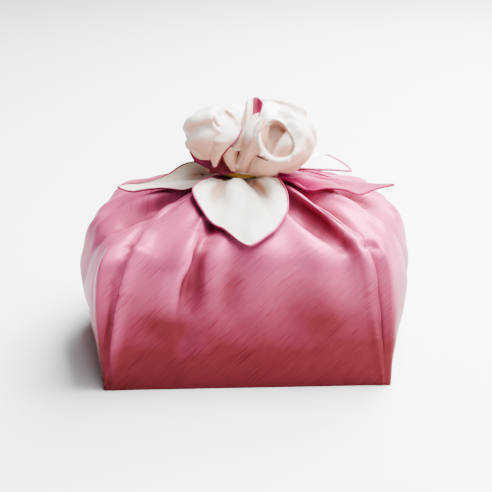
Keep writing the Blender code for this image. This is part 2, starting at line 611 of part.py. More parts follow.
def outer_shell(mesh):
    """Keeps only the outer surface of a fused body, so that spaces shut in between its folds are filled."""
    shells = []
    left = set(mesh.verts)
    while left:
        shell, front = set(), [left.pop()]
        while front:
            vert = front.pop()
            shell.add(vert)
            near = {edge.other_vert(vert) for edge in vert.link_edges} & left
            left -= near
            front += near
        shells.append(shell)
    shells.sort(key=len)
    for shell in shells[:-1]:
        bmesh.ops.delete(mesh, geom=list(shell), context="VERTS")


def fuse(name, meshes, material):
    """One object from closed meshes that run into each other, shaded smooth but for its sharp edges."""
    whole = add_object(name, meshes[0], material)
    for k, mesh in enumerate(meshes[1:]):
        other = add_object(f"{name}_{k}", mesh, material)
        union = whole.modifiers.new("union", "BOOLEAN")
        union.operation = "UNION"
        union.solver = "EXACT"
        union.object = other
        graph = bpy.context.evaluated_depsgraph_get()
        joined = bpy.data.meshes.new_from_object(whole.evaluated_get(graph))
        whole.modifiers.clear()
        whole.data = joined
        bpy.data.objects.remove(other)
    mesh = bmesh.new()
    mesh.from_mesh(whole.data)
    outer_shell(mesh)
    mesh.to_mesh(whole.data)
    mesh.free()
    whole.data.shade_smooth()
    whole.data.set_sharp_from_angle(angle=math.radians(50))
    return whole


def add_material(name, colour, roughness):
    material = bpy.data.materials.new(name)
    material.use_nodes = True
    shader = material.node_tree.nodes["Principled BSDF"]
    shader.inputs["Base Color"].default_value = (*colour, 1)
    shader.inputs["Roughness"].default_value = roughness
    shader.inputs["Metallic"].default_value = 0
    return material


def clear_scene():
    for obj in list(bpy.data.objects):
        bpy.data.objects.remove(obj)


def main():
    clear_scene()
    rings = bundle_rings()
    bundle = skin(rings)
    tree = BVHTree.FromBMesh(bundle)
    bundle.free()
    neck = rings[-1].copy()
    neck[:, 2] = CORE_TOP
    outer = [skin(rings + [neck])]
    lining = [collar_mesh()]
    for leaf in dict.fromkeys(rib.leaf for rib in RIBS):
        grid = widened(leaf_grid(leaf, tree), LEAF_RIM)
        normal = grid_normals(grid)
        if leaf in LINED_LEAVES:
            outer.append(slab(grid, normal, -GAP / 2 - CLOTH, -GAP / 2))
            grid, normal = grid[1:-1, 1:-1], normal[1:-1, 1:-1]
            lining.append(slab(grid, normal, GAP / 2, GAP / 2 + CLOTH))
        else:
            outer.append(slab(grid, normal, -GAP / 2 - 2 * CLOTH, -GAP / 2))
    lining += [puff_mesh(puff) for puff in PUFFS]
    lining += [strip_mesh(strip, 9, 5) for strip in dict.fromkeys(s.strip for s in SECTIONS)]
    fuse("outer_cloth", outer, add_material("pink_silk", (0.78, 0.26, 0.36), 0.38))
    fuse("lining_cloth", lining, add_material("cream_silk", (0.86, 0.82, 0.74), 0.45))
    fuse("elastic_band", [band_mesh()], add_material("yellow_rubber", (0.55, 0.36, 0.05), 0.55))


main()
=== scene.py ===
"""The looks of a furoshiki wrap: two-layer cloth round a box shape, gathered into puffs and leaves.

The outer cloth is slubbed pink silk and the lining is cream. The loaded frame gives the solids; each
piece here is a thin sheet on its solid's folds, with the small creases added. Tables are in millimetres
and degrees, bearings run counter-clockwise from +X seen from above, and the front is -Y.
"""

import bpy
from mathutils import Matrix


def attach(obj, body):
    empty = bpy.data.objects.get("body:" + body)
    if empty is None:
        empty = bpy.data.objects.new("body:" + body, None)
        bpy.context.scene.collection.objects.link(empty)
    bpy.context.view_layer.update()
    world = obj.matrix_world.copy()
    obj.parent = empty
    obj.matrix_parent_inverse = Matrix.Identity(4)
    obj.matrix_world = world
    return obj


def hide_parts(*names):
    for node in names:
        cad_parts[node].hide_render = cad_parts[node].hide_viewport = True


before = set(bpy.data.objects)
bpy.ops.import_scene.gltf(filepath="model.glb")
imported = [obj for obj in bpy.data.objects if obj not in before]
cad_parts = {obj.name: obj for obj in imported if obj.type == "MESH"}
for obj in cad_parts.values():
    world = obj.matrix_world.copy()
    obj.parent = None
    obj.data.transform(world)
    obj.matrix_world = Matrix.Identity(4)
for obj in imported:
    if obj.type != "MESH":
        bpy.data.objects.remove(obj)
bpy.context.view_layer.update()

import math
from collections import namedtuple

import bmesh
import bpy
import numpy as np
from mathutils import Matrix, Vector
from mathutils.bvhtree import BVHTree

bl_info = {
    "name": "Furoshiki wrap",
    "version": (1, 0, 0),
    "blender": (4, 5, 0),
    "location": "3D View > Sidebar > Wrap",
    "description": "Builds a cloth wrap gathered by a band into puffs and leaves",
    "category": "Add Mesh",
}

MM = 0.001


def listed(kind, groups):
    """The rows of a table that is written in groups, each with its group's name put first."""
    return [kind(group, *row) for group, rows in groups.items() for row in rows]


# The camera looks along +Y and down, a little turned about its own axis
CAMERA_AIM = (1.4, 0.0, 104.0)
CAMERA_RISE = 20.0
CAMERA_ROLL = 1.1
CAMERA_AWAY = 1400.0
CAMERA_LENS = 97.3
CAMERA_SENSOR = 36

# The floor and the lights: where each light stands, its side in metres and its power in watts
Light = namedtuple("Light", "name x y z size power")
LIGHTS = (
    Light("back_light", 900, 1500, 1500, 1.2, 265),
    Light("top_light", 500, 50, 1300, 0.8, 92),
    Light("front_light", 300, -900, 1500, 0.8, 14),
    Light("right_light", 1300, -250, 800, 1.4, 48),
)
LIGHT_AIM = (0, 0, 120)
SKY_LIGHT = 0.13
FLOOR_SIZE = 12  # metres
FLOOR_DROP = -0.0004  # metres, so that it doesn't touch the base

EDGE_SOFTNESS = 15.0  # how far the upper edge is rounded

# Mesh steps
STEPS_ACROSS_FOLD = 8
ROWS_UP_SIDE = 56
ROWS_OVER_TOP = 84
STEPS_ACROSS_RIB = 8
ROWS_ALONG_LEAF = 56
PUFF_TURNS = 132
PUFF_MOUTH_ROWS = 36
PUFF_ROWS = 84
COLLAR_STEPS = 220
FINE_STEPS = 140

# The bundle: the size of the box shape that the cloth follows, and the gathered neck over it
BUNDLE_WIDTH = 280.0
BUNDLE_DEPTH = 250.0
EDGE_HEIGHT = 141.0
NECK_HEIGHT = 179.0
NECK_RADIUS = 15.5
NECK_SWEEP = 78.0  # distance from the axis at which a fold turns in to its bearing

# The neck above the bundle: outer cloth inside, lining round it, band round both
CORE_TOP = 189.0
BAND_HEIGHT = 187.4
BAND_TURNS = 3
BAND_CORD = 1.25
BAND_RADIUS = 20.4
BAND_PITCH = 1.5  # from one turn to the next, in radii of its cord
BAND_TILT = (0.02, 0.03)  # radians between turns
BAND_STEPS = 160
CORD_STEPS = 20

# The leaves start at the neck between these heights, with a strip of outer cloth round the lining
LEAF_FOOT = 182.6
LEAF_CORE = 13.5
LEAF_WALL = 17.2
LEAF_CLEAR = 23.0
LEAF_RIM = 2.2
RIM_ROLL = 1.35  # the rolled rim is that much wider than the solid's
LEAF_HELD_ROWS = 3  # rows of a leaf between the core and the clear of the band
LEAF_REST = 3.8  # least height of a leaf's middle over the bundle
LEAF_FEEL = 6.0  # how far round a point the bundle is felt for
LIFT_SPREADS = 4  # times that a lift over the bundle is shared with the points round it
BOW_PEAK = 6.75  # a rib's bow is greatest a third of the way along it
BOW_LEAN = 2.0

# One row for each fold line round the bundle, in order, starting at the front left corner.
# base and top say where it meets the base and the upper edge: side 0 is the front, 1 the right, 2 the back
# and 3 the left, and the fraction is the share of that side. low, mid and edge are how far it stands out
# from the box shape going up the side, dome and rim how far it rises over the slope going up to the neck.
Fold = namedtuple("Fold", "name base top bearing low mid edge dome rim crease")
FOLDS = [Fold(*row) for row in (
    ("front_left_corner", 0.000, 0.002, 194, 2, 6, -1, -2, -1, 0.5),
    ("front_left_gusset", 0.006, 0.050, 197, 2, 2, -1, -4, -3, 0.0),
    ("front_left_tuck", 0.012, 0.122, 199, 0, -2, -4, -6, -4, 0.6),
    ("front_left_lap", 0.018, 0.098, 201, 2, 4, 5, 5, 4, 0.8),
    ("front_left_roll", 0.100, 0.165, 214, 0, 2, 5, 9, 8, 0.0),
    ("left_pleat_ridge", 0.225, 0.303, 238, 0, 4, 8, 7, 5, 0.6),
    ("left_pleat_valley", 0.275, 0.335, 246, 0, -4, -5, -7, -6, 0.3),
    ("front_swell", 0.370, 0.400, 256, 0, 2, 1, 0, -2, 0.0),
    ("front_hollow", 0.470, 0.480, 266, 0, -2, -3, -1, -2, 0.0),
    ("middle_swell", 0.560, 0.580, 277, 0, 1, 2, 1, -2, 0.0),
    ("right_hollow", 0.670, 0.680, 289, 0, -3, 0, 0, -2, 0.0),
    ("right_swell", 0.780, 0.770, 300, 0, 2, 3, 1, -1, 0.0),
    ("right_valley", 0.880, 0.865, 316, 0, -1, -3, -10, -8, 0.2),
    ("front_right_roll", 0.970, 0.925, 334, 1, 3, 5, 8, 9, 0.3),
    ("front_right_lap", 0.979, 0.940, 341, 2, 4, 4, 4, 4, 0.8),
    ("front_right_tuck", 0.986, 0.912, 344, 0, -2, -4, -6, -5, 0.6),
    ("front_right_gusset", 0.993, 0.960, 346, 1, 0, -2, -4, -3, 0.0),
    ("front_right_corner", 1.000, 0.998, 349, 2, 3, -3, -2, -1, 0.5),
    ("right_facet", 1.120, 1.120, 352, 9, 17, 6, 2, 2, 0.0),
    ("right_front_ridge", 1.270, 1.260, 356, 14, 26, 12, 7, 8, 0.4),
    ("right_groove", 1.420, 1.420, 3, 17, 31, 20, -7, -6, 0.2),
    ("right_ridge", 1.560, 1.570, 12, 17, 34, 26, 7, 8, 0.3),
    ("right_back_groove", 1.720, 1.720, 24, 12, 24, 17, -3, -5, 0.0),
    ("back_right_roll", 1.870, 1.860, 36, 6, 12, 8, 7, 7, 0.2),
    ("back_right_corner", 2.000, 1.998, 46, 2, 5, -1, 0, -2, 0.5),
    ("back_right_gusset", 2.006, 2.040, 50, 1, 0, -2, -4, -3, 0.0),
    ("back_right_tuck", 2.012, 2.108, 53, 0, -2, -3, -6, -4, 0.6),
    ("back_right_lap", 2.018, 2.085, 57, 2, 4, 5, 6, 6, 0.8),
    ("back_right_groove", 2.160, 2.170, 68, 0, -1, -2, -6, -5, 0.0),
    ("back_roll", 2.300, 2.280, 78, 0, 2, 4, 8, 8, 0.0),
    ("back_hollow", 2.500, 2.500, 92, 0, -2, -2, -3, -4, 0.0),
    ("back_second_roll", 2.700, 2.720, 106, 0, 2, 3, 7, 7, 0.0),
    ("back_left_groove", 2.840, 2.830, 118, 0, -1, -2, -6, -5, 0.0),
    ("back_left_lap", 2.982, 2.915, 128, 2, 4, 5, 7, 7, 0.8),
    ("back_left_tuck", 2.988, 2.892, 132, 0, -2, -3, -6, -4, 0.6),
    ("back_left_gusset", 2.994, 2.960, 136, 1, 0, -2, -4, -3, 0.0),
    ("back_left_corner", 3.000, 3.002, 142, 2, 5, -1, 2, 2, 0.5),
    ("back_left_roll", 3.100, 3.100, 150, 8, 12, 8, 8, 8, 0.2),
    ("left_back_groove", 3.240, 3.240, 158, 12, 20, 13, -4, -6, 0.0),
    ("left_roll", 3.400, 3.400, 168, 16, 29, 20, 12, 10, 0.1),
    ("left_groove", 3.530, 3.530, 177, 17, 35, 18, -3, -4, 0.2),
    ("left_ridge", 3.620, 3.620, 183, 16, 31, 12, 5, 6, 0.5),
    ("left_hollow", 3.760, 3.760, 188, 12, 22, 6, -8, -6, 0.1),
    ("left_facet", 3.900, 3.890, 191, 8, 14, 0, -1, 0, 0.2),
)]
SIDE_STATIONS = (0.0, 0.2, 0.55, 1.0)
TOP_STATIONS = (0.0, 0.45, 0.8, 1.0)
BASE_SHARE = 0.35  # of a fold's low reach, where it meets the base
LEAN_POWER = 1.5  # a fold line moves along its side mostly near the upper edge
CORNER_TURN = 0.05  # share of a side over which its outward direction turns at a corner
SLOPE_POWER = 1.12
SLOPE_CROWN = 4.0

# One row for each rib of a leaf, in order across it: where it leaves the neck, where it ends, how far its
# middle bows up, and how sharp the fold along it is. A leaf's outline runs through the ends of its ribs.
Rib = namedtuple("Rib", "leaf name root x y z bow crease")
RIBS = listed(Rib, {
    "front": (
        ("left_hem", 226, -34, -21, 183, 3, 0.0),
        ("left_shoulder", 231, -43, -33, 179, 6, 0.0),
        ("left_lobe", 238, -49, -50, 174, 7, 0.0),
        ("left_flute", 248, -38, -80, 161, -7, 0.2),
        ("left_ridge", 258, -21, -97, 155, 6, 0.5),
        ("tip", 270, 6, -121, 147, 2, 0.3),
        ("right_crease", 284, 29, -103, 151, -6, 0.6),
        ("right_swell", 293, 41, -77, 163, 7, 0.2),
        ("right_lobe", 302, 43, -52, 172, 6, 0.0),
        ("right_shoulder", 309, 41, -37, 178, 4, 0.0),
        ("right_hem", 314, 35, -25, 182, 3, 0.0),
    ),
    "left": (
        ("back_hem", 144, -40, 13, 194, 2, 0.0),
        ("back_shoulder", 153, -57, 10, 193, 3, 0.0),
        ("back_side", 162, -79, 5, 182, 2, 0.0),
        ("back_taper", 171, -103, 2, 175, 1, 0.0),
        ("tip", 179, -128, 0, 172, -3, 0.3),
        ("front_taper", 186, -107, -12, 167, -5, 0.0),
        ("front_side", 193, -80, -18, 169, -4, 0.0),
        ("front_shoulder", 200, -58, -20, 173, -2, 0.0),
        ("front_hem", 207, -38, -19, 178, 0, 0.0),
    ),
    "right": (
        ("front_hem", 334, 52, -31, 177, 2, 0.0),
        ("front_shoulder", 339, 76, -36, 169, 2, 0.0),
        ("front_lobe", 344, 101, -34, 162, 3, 0.2),
        ("front_side", 349, 119, -21, 165, 1, 0.0),
        ("front_taper", 354, 134, -10, 167, 0, 0.0),
        ("tip", 358, 154, 0, 168, -2, 0.3),
        ("back_taper", 2, 118, 4, 169, 3, 0.0),
        ("back_side", 7, 97, 6, 173, 3, 0.0),
        ("back_shoulder", 13, 78, 9, 178, 2, 0.0),
        ("back_hem", 19, 57, 13, 180, 2, 0.0),
    ),
    "back": (
        ("front_hem", 38, 92, 15, 181, 2, 0.0),
        ("front_side", 46, 112, 28, 176, 3, 0.2),
        ("front_lobe", 54, 104, 44, 180, 5, 0.0),
        ("front_swell", 62, 90, 58, 184, 6, 0.3),
        ("tip", 71, 78, 84, 170, -2, 0.3),
        ("back_lobe", 81, 50, 76, 173, 4, 0.0),
        ("back_shoulder", 92, 26, 58, 176, 1, 0.0),
        ("back_hem", 102, 4, 39, 179, 0, 0.0),
    ),
})
LINED_LEAVES = ("front", "left", "back")  # the right leaf is twisted, and shows its outer cloth

# One row for each puff: its middle, its half sizes, where its mouth faces, half the mouth's angle and how
# deep the mouth goes as a share of the puff. Each puff is drawn in to the neck at the root.
Puff = namedtuple("Puff", "name x y z wide long high bearing rise mouth depth")
PUFFS = (
    Puff("left", -30, -4, 228, 29, 29, 28, 322, 44, 30, 0.16),
    Puff("right", 34, -12, 220, 42, 36, 33, 266, 22, 29, 0.58),
    Puff("back_right", 35, 22, 226, 37, 31, 30, 55, 55, 34, 0.20),
    Puff("back_left", -12, 24, 219, 36, 30, 30, 120, 48, 34, 0.20),
)
ROOT = (2, -2, 202)
ROOT_HOLD = 0.62
ROOT_FROM = 0.1

# One row for each main fold on a puff, from one direction to another, seen from the puff's middle.
# width is an angle, and height is in millimetres: a ridge stands out and a groove is below zero.
Crease = namedtuple("Crease", "puff name bearing rise to_bearing to_rise width height")
CREASES = listed(Crease, {
    "left": (
        ("brow", 172, 12, 268, 50, 11, 3.0),
        ("under_brow", 185, -6, 262, 28, 10, -3.5),
        ("outer_drag", 190, -14, 300, -50, 8, 2.5),
        ("inner_drag", 205, -36, 310, -60, 7, -2.5),
        ("back_ridge", 120, 20, 20, -40, 12, 3.0),
        ("back_groove", 150, 10, 60, -55, 11, -3.5),
    ),
    "right": (
        ("mouth_lip", 238, 24, 268, -12, 9, 3.5),
        ("lower_lip", 268, -12, 306, 2, 9, 3.5),
        ("cone_groove", 243, -8, 228, -66, 9, -4.5),
        ("lower_lobe", 262, -34, 232, -68, 9, 3.0),
        ("side_groove", 322, -6, 250, -60, 10, -3.0),
        ("crown_groove", 290, 74, 292, 44, 9, -3.5),
        ("crown_ridge", 320, 66, 306, 34, 11, 3.0),
        ("far_groove", 350, 40, 345, -40, 11, -3.0),
        ("back_ridge", 20, 30, 30, -50, 13, 3.0),
    ),
    "back_right": (
        ("crown_groove", 300, 50, 350, 20, 11, -3.0),
        ("outer_groove", 20, 30, 10, -50, 12, -3.5),
        ("back_groove", 80, 25, 110, -50, 12, -3.5),
        ("back_ridge", 50, 25, 60, -50, 12, 3.0),
    ),
    "back_left": (
        ("back_groove", 100, 20, 70, -50, 12, -3.5),
        ("side_groove", 165, 25, 160, -45, 12, -3.5),
        ("side_ridge", 135, 15, 120, -50, 12, 3.0),
    ),
})

# Free strips of lining among the puffs, one row for each section, by its left edge, middle and right edge
Section = namedtuple("Section", "strip name ax ay az bx by bz cx cy cz")
SECTIONS = listed(Section, {
    "flap": (
        ("top", -30, -19, 245, -16, -25, 242, -1, -21, 238),
        ("upper", -35, -22, 235, -21, -32, 235, -6, -31, 231),
        ("middle", -37, -22, 223, -26, -35, 224, -15, -35, 222),
        ("lower", -34, -22, 212, -28, -34, 213, -22, -34, 213),
        ("point", -31, -22, 201, -29, -27, 200, -27, -26, 200),
    ),
    "wall": (
        ("top", 5, -4, 256, 5, -10, 263, 10, -9, 264),
        ("upper", 2, -8, 246, 4, -20, 253, 9, -17, 253),
        ("middle", -1, -10, 234, 2, -27, 240, 8, -24, 238),
        ("lower", -9, -10, 221, -4, -29, 229, 4, -28, 229),
        ("foot", -19, -12, 211, -12, -27, 217, -2, -27, 217),
    ),
    "channel": (
        ("top", 10, -8, 264, 16, 4, 263, 22, -9, 259),
        ("upper", 9, -14, 253, 15, 0, 252, 20, -17, 253),
        ("middle", 8, -20, 245, 13, -8, 241, 15, -24, 245),
        ("foot", 8, -25, 236, 9, -20, 233, 11, -28, 236),
    ),
    "shoulder": (
        ("top", 21, -8, 259, 29, 0, 259, 38, 4, 254),
        ("upper", 21, -16, 254, 28, -14, 255, 38, -6, 251),
        ("middle", 18, -24, 245, 24, -31, 252, 33, -24, 249),
        ("foot", 13, -28, 234, 20, -36, 243, 28, -32, 244),
    ),
    "petal": (
        ("top", 14, -29, 243, 19, -36, 250, 28, -28, 249),
        ("upper", 8, -26, 233, 14, -41, 240, 25, -34, 239),
        ("middle", 0, -22, 220, 10, -43, 228, 24, -36, 226),
        ("lower", -5, -20, 208, 5, -39, 215, 19, -34, 213),
        ("foot", -9, -18, 199, 0, -32, 202, 12, -24, 201),
        ("band", -11, -18, 193, -2, -24, 192, 9, -19, 191),
    ),
    "ruffle": (
        ("top", -21, -27, 217, -14, -31, 220, -5, -24, 219),
        ("middle", -18, -27, 206, -12, -30, 207, -6, -22, 206),
        ("foot", -12, -24, 194, -8, -25, 194, -5, -20, 193),
    ),
    "tuck": (
        ("top", -30, -24, 208, -22, -20, 212, -13, -20, 213),
        ("middle", -32, -23, 199, -22, -22, 202, -12, -21, 202),
        ("foot", -34, -20, 191, -23, -25, 192, -10, -21, 191),
    ),
    "under": (
        ("top", -56, 6, 213, -44, 2, 211, -30, -8, 207),
        ("middle", -54, 4, 205, -43, -2, 203, -30, -14, 201),
        ("foot", -50, -2, 198, -41, -8, 195, -30, -18, 192),
    ),
    "lobe": (
        ("top", 14, -40, 213, 23, -51, 212, 35, -48, 208),
        ("middle", 9, -33, 202, 20, -44, 201, 35, -40, 199),
        ("foot", 6, -24, 192, 19, -27, 189, 33, -20, 187),
    ),
    "inner": (
        ("top", 46, -36, 238, 51, -38, 235, 56, -36, 228),
        ("middle", 36, -40, 227, 45, -45, 226, 54, -42, 221),
        ("foot", 27, -42, 212, 37, -48, 214, 47, -46, 214),
    ),
})

# The collar of small folds above the band, by height and radius, and its folds round the neck
Ring = namedtuple("Ring", "z radius flute")
COLLAR = (
    Ring(183.3, 18.5, 0.0),
    Ring(191.2, 18.5, 0.2),
    Ring(194.6, 23.0, 0.8),
    Ring(199.0, 26.0, 1.0),
    Ring(204.0, 22.0, 0.6),
    Ring(206.0, 11.0, 0.2),
)
COLLAR_FOLDS = 11
COLLAR_FLUTE = 2.2
COLLAR_ROWS = 40
COLLAR_MIDDLE = 20  # its usual radius, for its place in the flat cloth

# One row for each crease of a piece's finished surface: a soft curve from one place to another by way of a
# third, all near the surface. A lap is a ridge that falls away sharply on its right, -1, or its left, 1, as
# it runs. The last two numbers are its strength at its start and end, as shares of that in its middle.
Wrinkle = namedtuple("Wrinkle", "piece name ax ay az bx by bz cx cy cz width height lap start end")
WRINKLES = listed(Wrinkle, {
    "outer": (
        ("left_pleat", -48, -103, 149, -63, -131, 122, -68, -127, 73, 4.5, 7.5, -1, 0.6, 0),
        ("pleat_hollow", -53, -112, 135, -50, -116, 107, -53, -121, 72, 9, -3.5, 0, 0.5, 0),
        ("centre_hollow", -14, -117, 139, -15, -120, 105, -31, -127, 66, 12, -3.8, 0, 0.4, 0),
        ("middle_rise", -34, -113, 136, -34, -123, 115, -38, -125, 90, 8, 2.5, 0, 0.5, 0),
        ("low_right_hollow", 10, -124, 104, 64, -125, 76, 107, -126, 39, 24, -3.6, 0, 0, 0.2),
        ("up_right_rise", 37, -124, 128, 82, -125, 113, 107, -125, 68, 20, 3.0, 0, 0.3, 0),
        ("low_left_hollow", -106, -128, 83, -76, -128, 63, -41, -125, 55, 13, -2.2, 0, 0.2, 0),
        ("low_bulge", -80, -125, 17, -56, -125, 33, -30, -126, 48, 13, 3.0, 0, 0, 0),
        ("right_lap", 98, -103, 149, 112, -125, 138, 119, -129, 102, 4.5, 4.0, 0, 0.8, 0.5),
        ("right_low_lap", 119, -129, 104, 125, -127, 58, 134, -126, 8, 3.2, 2.4, 0, 0.4, 0.4),
        ("left_lap", -97, -95, 155, -110, -124, 139, -119, -129, 109, 3.2, 4.0, 1, 0.8, 0.55),
        ("left_low_lap", -119, -129, 109, -130, -125, 60, -138, -128, 15, 3, 3.0, 1, 0.45, 0.5),
        ("left_tuck", -119, -104, 140, -110, -101, 141, -101, -112, 149, 4, -4.0, 0, 0.3, 0.3),
        ("right_tuck", 114, -118, 147, 122, -109, 139, 130, -114, 138, 4, -4.0, 0, 0.4, 0.2),
        ("left_gusset_fine", -144, -92, 124, -141, -104, 82, -139, -110, 40, 5, -1.2, 0, 0.6, 0),
        ("top_left_drag", -40, -20, 176, -76, -52, 161, -112, -84, 146, 7, -3, 0, 1, 0),
        ("top_left_fine", -34, -26, 176, -63, -65, 161, -92, -104, 146, 5, 1.2, 0, 1, 0),
        ("top_front_fine", -22, -30, 176, -44, -71, 161, -66, -112, 146, 6, -2.6, 0, 1, 0),
        ("top_right_fine", 30, -28, 176, 63, -60, 161, 96, -92, 146, 6, -2.4, 0, 1, 0),
        ("top_right_drag", 40, -20, 174, 83, -36, 160, 126, -52, 146, 7, -3, 0, 1, 0),
        ("left_side_drag", -142, -60, 128, -150, -40, 94, -158, -20, 60, 9, -1.8, 0, 1, 0),
        ("left_side_fine", -150, 0, 140, -159, 8, 108, -168, 16, 76, 8, 1.6, 0, 1, 0),
        ("left_back_drag", -148, 50, 138, -152, 60, 99, -156, 70, 60, 10, -1.6, 0, 1, 0),
        ("right_side_drag", 144, -50, 128, 152, -37, 94, 160, -24, 60, 9, -1.8, 0, 1, 0),
        ("right_side_fine", 150, 10, 150, 160, 10, 115, 170, 10, 80, 8, -1.8, 0, 1, 0),
        ("right_back_drag", 146, 58, 138, 151, 62, 98, 156, 66, 58, 10, 1.6, 0, 1, 0),
        ("back_drag", -60, 126, 136, -45, 126, 93, -30, 127, 50, 14, -1.8, 0, 1, 0),
        ("back_swell", 30, 126, 136, 17, 126, 90, 4, 127, 44, 14, 1.6, 0, 1, 0),
        ("back_fine", 84, 126, 136, 73, 126, 101, 62, 127, 66, 8, -1.4, 0, 1, 0),
        ("left_top_lap", -66, -12, 163, -85, -50, 159, -107, -118, 144, 5, 4.5, 1, 0.3, 0.8),
        ("right_roll", 52, -22, 170, 84, -46, 160, 110, -106, 149, 8, 8.5, 1, 0.5, 0.8),
        ("right_roll_shade", 44, -44, 160, 68, -75, 150, 98, -116, 142, 11, -6.0, 0, 0.4, 0.3),
        ("left_top_ridge", -56, -10, 168, -107, -17, 158, -149, -25, 142, 8, 6.5, 0, 0.6, 0.3),
        ("left_top_hollow", -74, -28, 160, -112, -42, 151, -142, -50, 136, 11, -9, 0, 0.4, 0.3),
        ("right_top_ridge", 76, -26, 165, 101, -38, 160, 140, -57, 147, 7, 6, 0, 0.5, 0.3),
        ("right_top_hollow", 84, -10, 158, 118, 4, 154, 148, -8, 143, 10, -8, 0, 0.3, 0.3),
    ),
    "front": (
        ("root_swell", -2, -22, 183, 0, -45, 178, 2, -72, 170, 24, 6.0, 0, 0.3, 0),
        ("left_ridge", -9, -20, 183, -17, -41, 177, -24, -73, 167, 4.2, 4.0, 1, 0.7, 0),
        ("left_flute", -18, -17, 184, -28, -42, 178, -32, -75, 169, 8, -5.2, 0, 0.9, 0.1),
        ("right_flute", 2, -20, 183, 15, -41, 179, 27, -67, 170, 7, -6.5, 0, 1.0, 0.0),
        ("right_swell", 12, -24, 183, 26, -40, 179, 34, -62, 172, 9, 3.5, 0, 0.4, 0.1),
        ("tip_fold", 4, -88, 163, 6, -103, 157, 6, -118, 149, 7, 1.6, 0, 0.2, 0.8),
        ("lobe_curl", -44, -38, 178, -47, -52, 174, -42, -70, 165, 5, 1.8, 0, 0.4, 0.4),
    ),
    "left": (
        ("middle_fold", -42, -2, 190, -70, -6, 180, -106, -5, 171, 6, -3.5, 0, 0.8, 0.1),
        ("front_roll", -40, -14, 184, -66, -15, 177, -100, -10, 170, 5, 2.5, 0, 0.6, 0.1),
    ),
    "right": (
        ("middle_fold", 40, -10, 181, 74, -12, 175, 118, -6, 168, 6, -3.5, 0, 0.8, 0.1),
        ("front_roll", 44, -20, 180, 80, -26, 171, 112, -22, 165, 6, 3.0, 0, 0.5, 0.1),
        ("back_roll", 44, 4, 182, 80, 0, 176, 124, 0, 169, 5, 2.2, 0, 0.5, 0.1),
    ),
    "back": (
        ("middle_fold", 30, 24, 182, 56, 40, 184, 82, 66, 180, 8, -4.0, 0, 0.6, 0.1),
        ("side_fold", 34, 16, 182, 70, 26, 182, 104, 34, 178, 6, 3.0, 0, 0.5, 0.1),
    ),
    "puff_left": (
        ("brow", -57, -10, 240, -41, -24, 245, -27, -28, 250, 1.8, 3.6, 1, 0.5, 0.6),
        ("crown_streak", -18, -6, 256, -11, -7, 248, -5, -9, 240, 4, -4.0, 0, 0.4, 0.4),
        ("mouth_tuck", -28, -26, 249, -22, -30, 243, -9, -27, 239, 2.6, -4.0, 0, 0.5, 0.4),
        ("upper_drag", -56, -8, 226, -44, -24, 216, -33, -26, 206, 4.5, -2.0, 0, 0.4, 0.8),
        ("lower_drag", -54, -6, 219, -42, -20, 211, -31, -24, 202, 4, 1.8, 0, 0.5, 0.8),
        ("far_fold", -50, 12, 240, -44, 20, 226, -30, 18, 210, 4, -3.0, 0, 0.4, 0.8),
    ),
    "puff_right": (
        ("left_lip", 21, -37, 243, 17, -42, 230, 21, -48, 218, 2.2, 2.6, 0, 0.5, 1),
        ("lower_lip", 20, -47, 219, 29, -55, 213, 44, -53, 212, 2.6, 3.2, 0, 1, 0.8),
        ("far_lip", 44, -53, 212, 52, -48, 219, 52, -42, 231, 4.5, 2.0, 0, 0.8, 0.2),
        ("top_lip", 21, -37, 243, 30, -35, 250, 42, -33, 243, 2.8, 1.8, 0, 0.9, 0.3),
        ("crown_tuck", 30, -18, 254, 38, -17, 255, 47, -16, 255, 2.6, -2.6, 0, 0.4, 0.2),
        ("crown_drag", 42, -26, 249, 51, -26, 245, 61, -26, 237, 3.2, -3.0, 0, 0.5, 0.2),
        ("side_drag", 53, -44, 220, 61, -38, 223, 67, -29, 229, 4.0, -2.6, 0, 0.4, 0.2),
        ("low_drag", 30, -48, 203, 48, -44, 203, 62, -36, 212, 4.5, 2.4, 0, 0.5, 0.2),
        ("far_drag", 70, -20, 236, 74, -10, 222, 66, -8, 202, 5, -2.8, 0, 0.3, 0.6),
    ),
    "puff_back_right": (
        ("crown_fold", 20, 8, 252, 36, 12, 255, 56, 10, 246, 3.5, -3.0, 0, 0.4, 0.3),
        ("outer_fold", 62, 22, 240, 66, 30, 226, 52, 30, 206, 4.5, -3.2, 0, 0.3, 0.8),
        ("far_fold", 34, 48, 240, 40, 52, 226, 30, 40, 206, 4.5, 3.0, 0, 0.3, 0.8),
    ),
    "puff_back_left": (
        ("crown_fold", -24, 30, 240, -8, 40, 236, 4, 38, 220, 4, -3.0, 0, 0.4, 0.6),
        ("side_fold", -38, 26, 226, -32, 28, 214, -20, 20, 204, 4, -2.8, 0, 0.4, 0.8),
    ),
    "petal": (
        ("long_drag", 13, -40, 240, 8, -43, 226, 0, -32, 203, 3.5, 1.4, 0, 0.3, 0.3),
        ("foot_drag", 2, -40, 222, -2, -34, 208, -4, -25, 194, 2.5, -1.4, 0, 0.2, 0.8),
    ),
    "flap": (
        ("cross_drag", -34, -24, 230, -24, -34, 228, -12, -33, 228, 3, 1.0, 0, 0.4, 0.2),
    ),
    "wall": (
        ("long_drag", 3, -20, 252, 1, -27, 238, -10, -27, 217, 2.5, -1.2, 0, 0.3, 0.6),
    ),
})

# The outline of the mouth of each puff that opens to the front, by points on its lip, and the mouth's depth
LIPS = {
    "right": (
        (21, -36, 243), (26, -35, 247), (33, -34, 249), (39, -34, 246),
        (45, -36, 239), (50, -42, 230), (51, -48, 223), (47, -52, 217),
        (39, -54, 215), (29, -53, 216), (21, -48, 222), (18, -42, 233),
    ),
}
MOUTH_DEPTH = 15.0
MOUTH_WALL = 3.5  # how far in from the lip the mouth reaches its depth

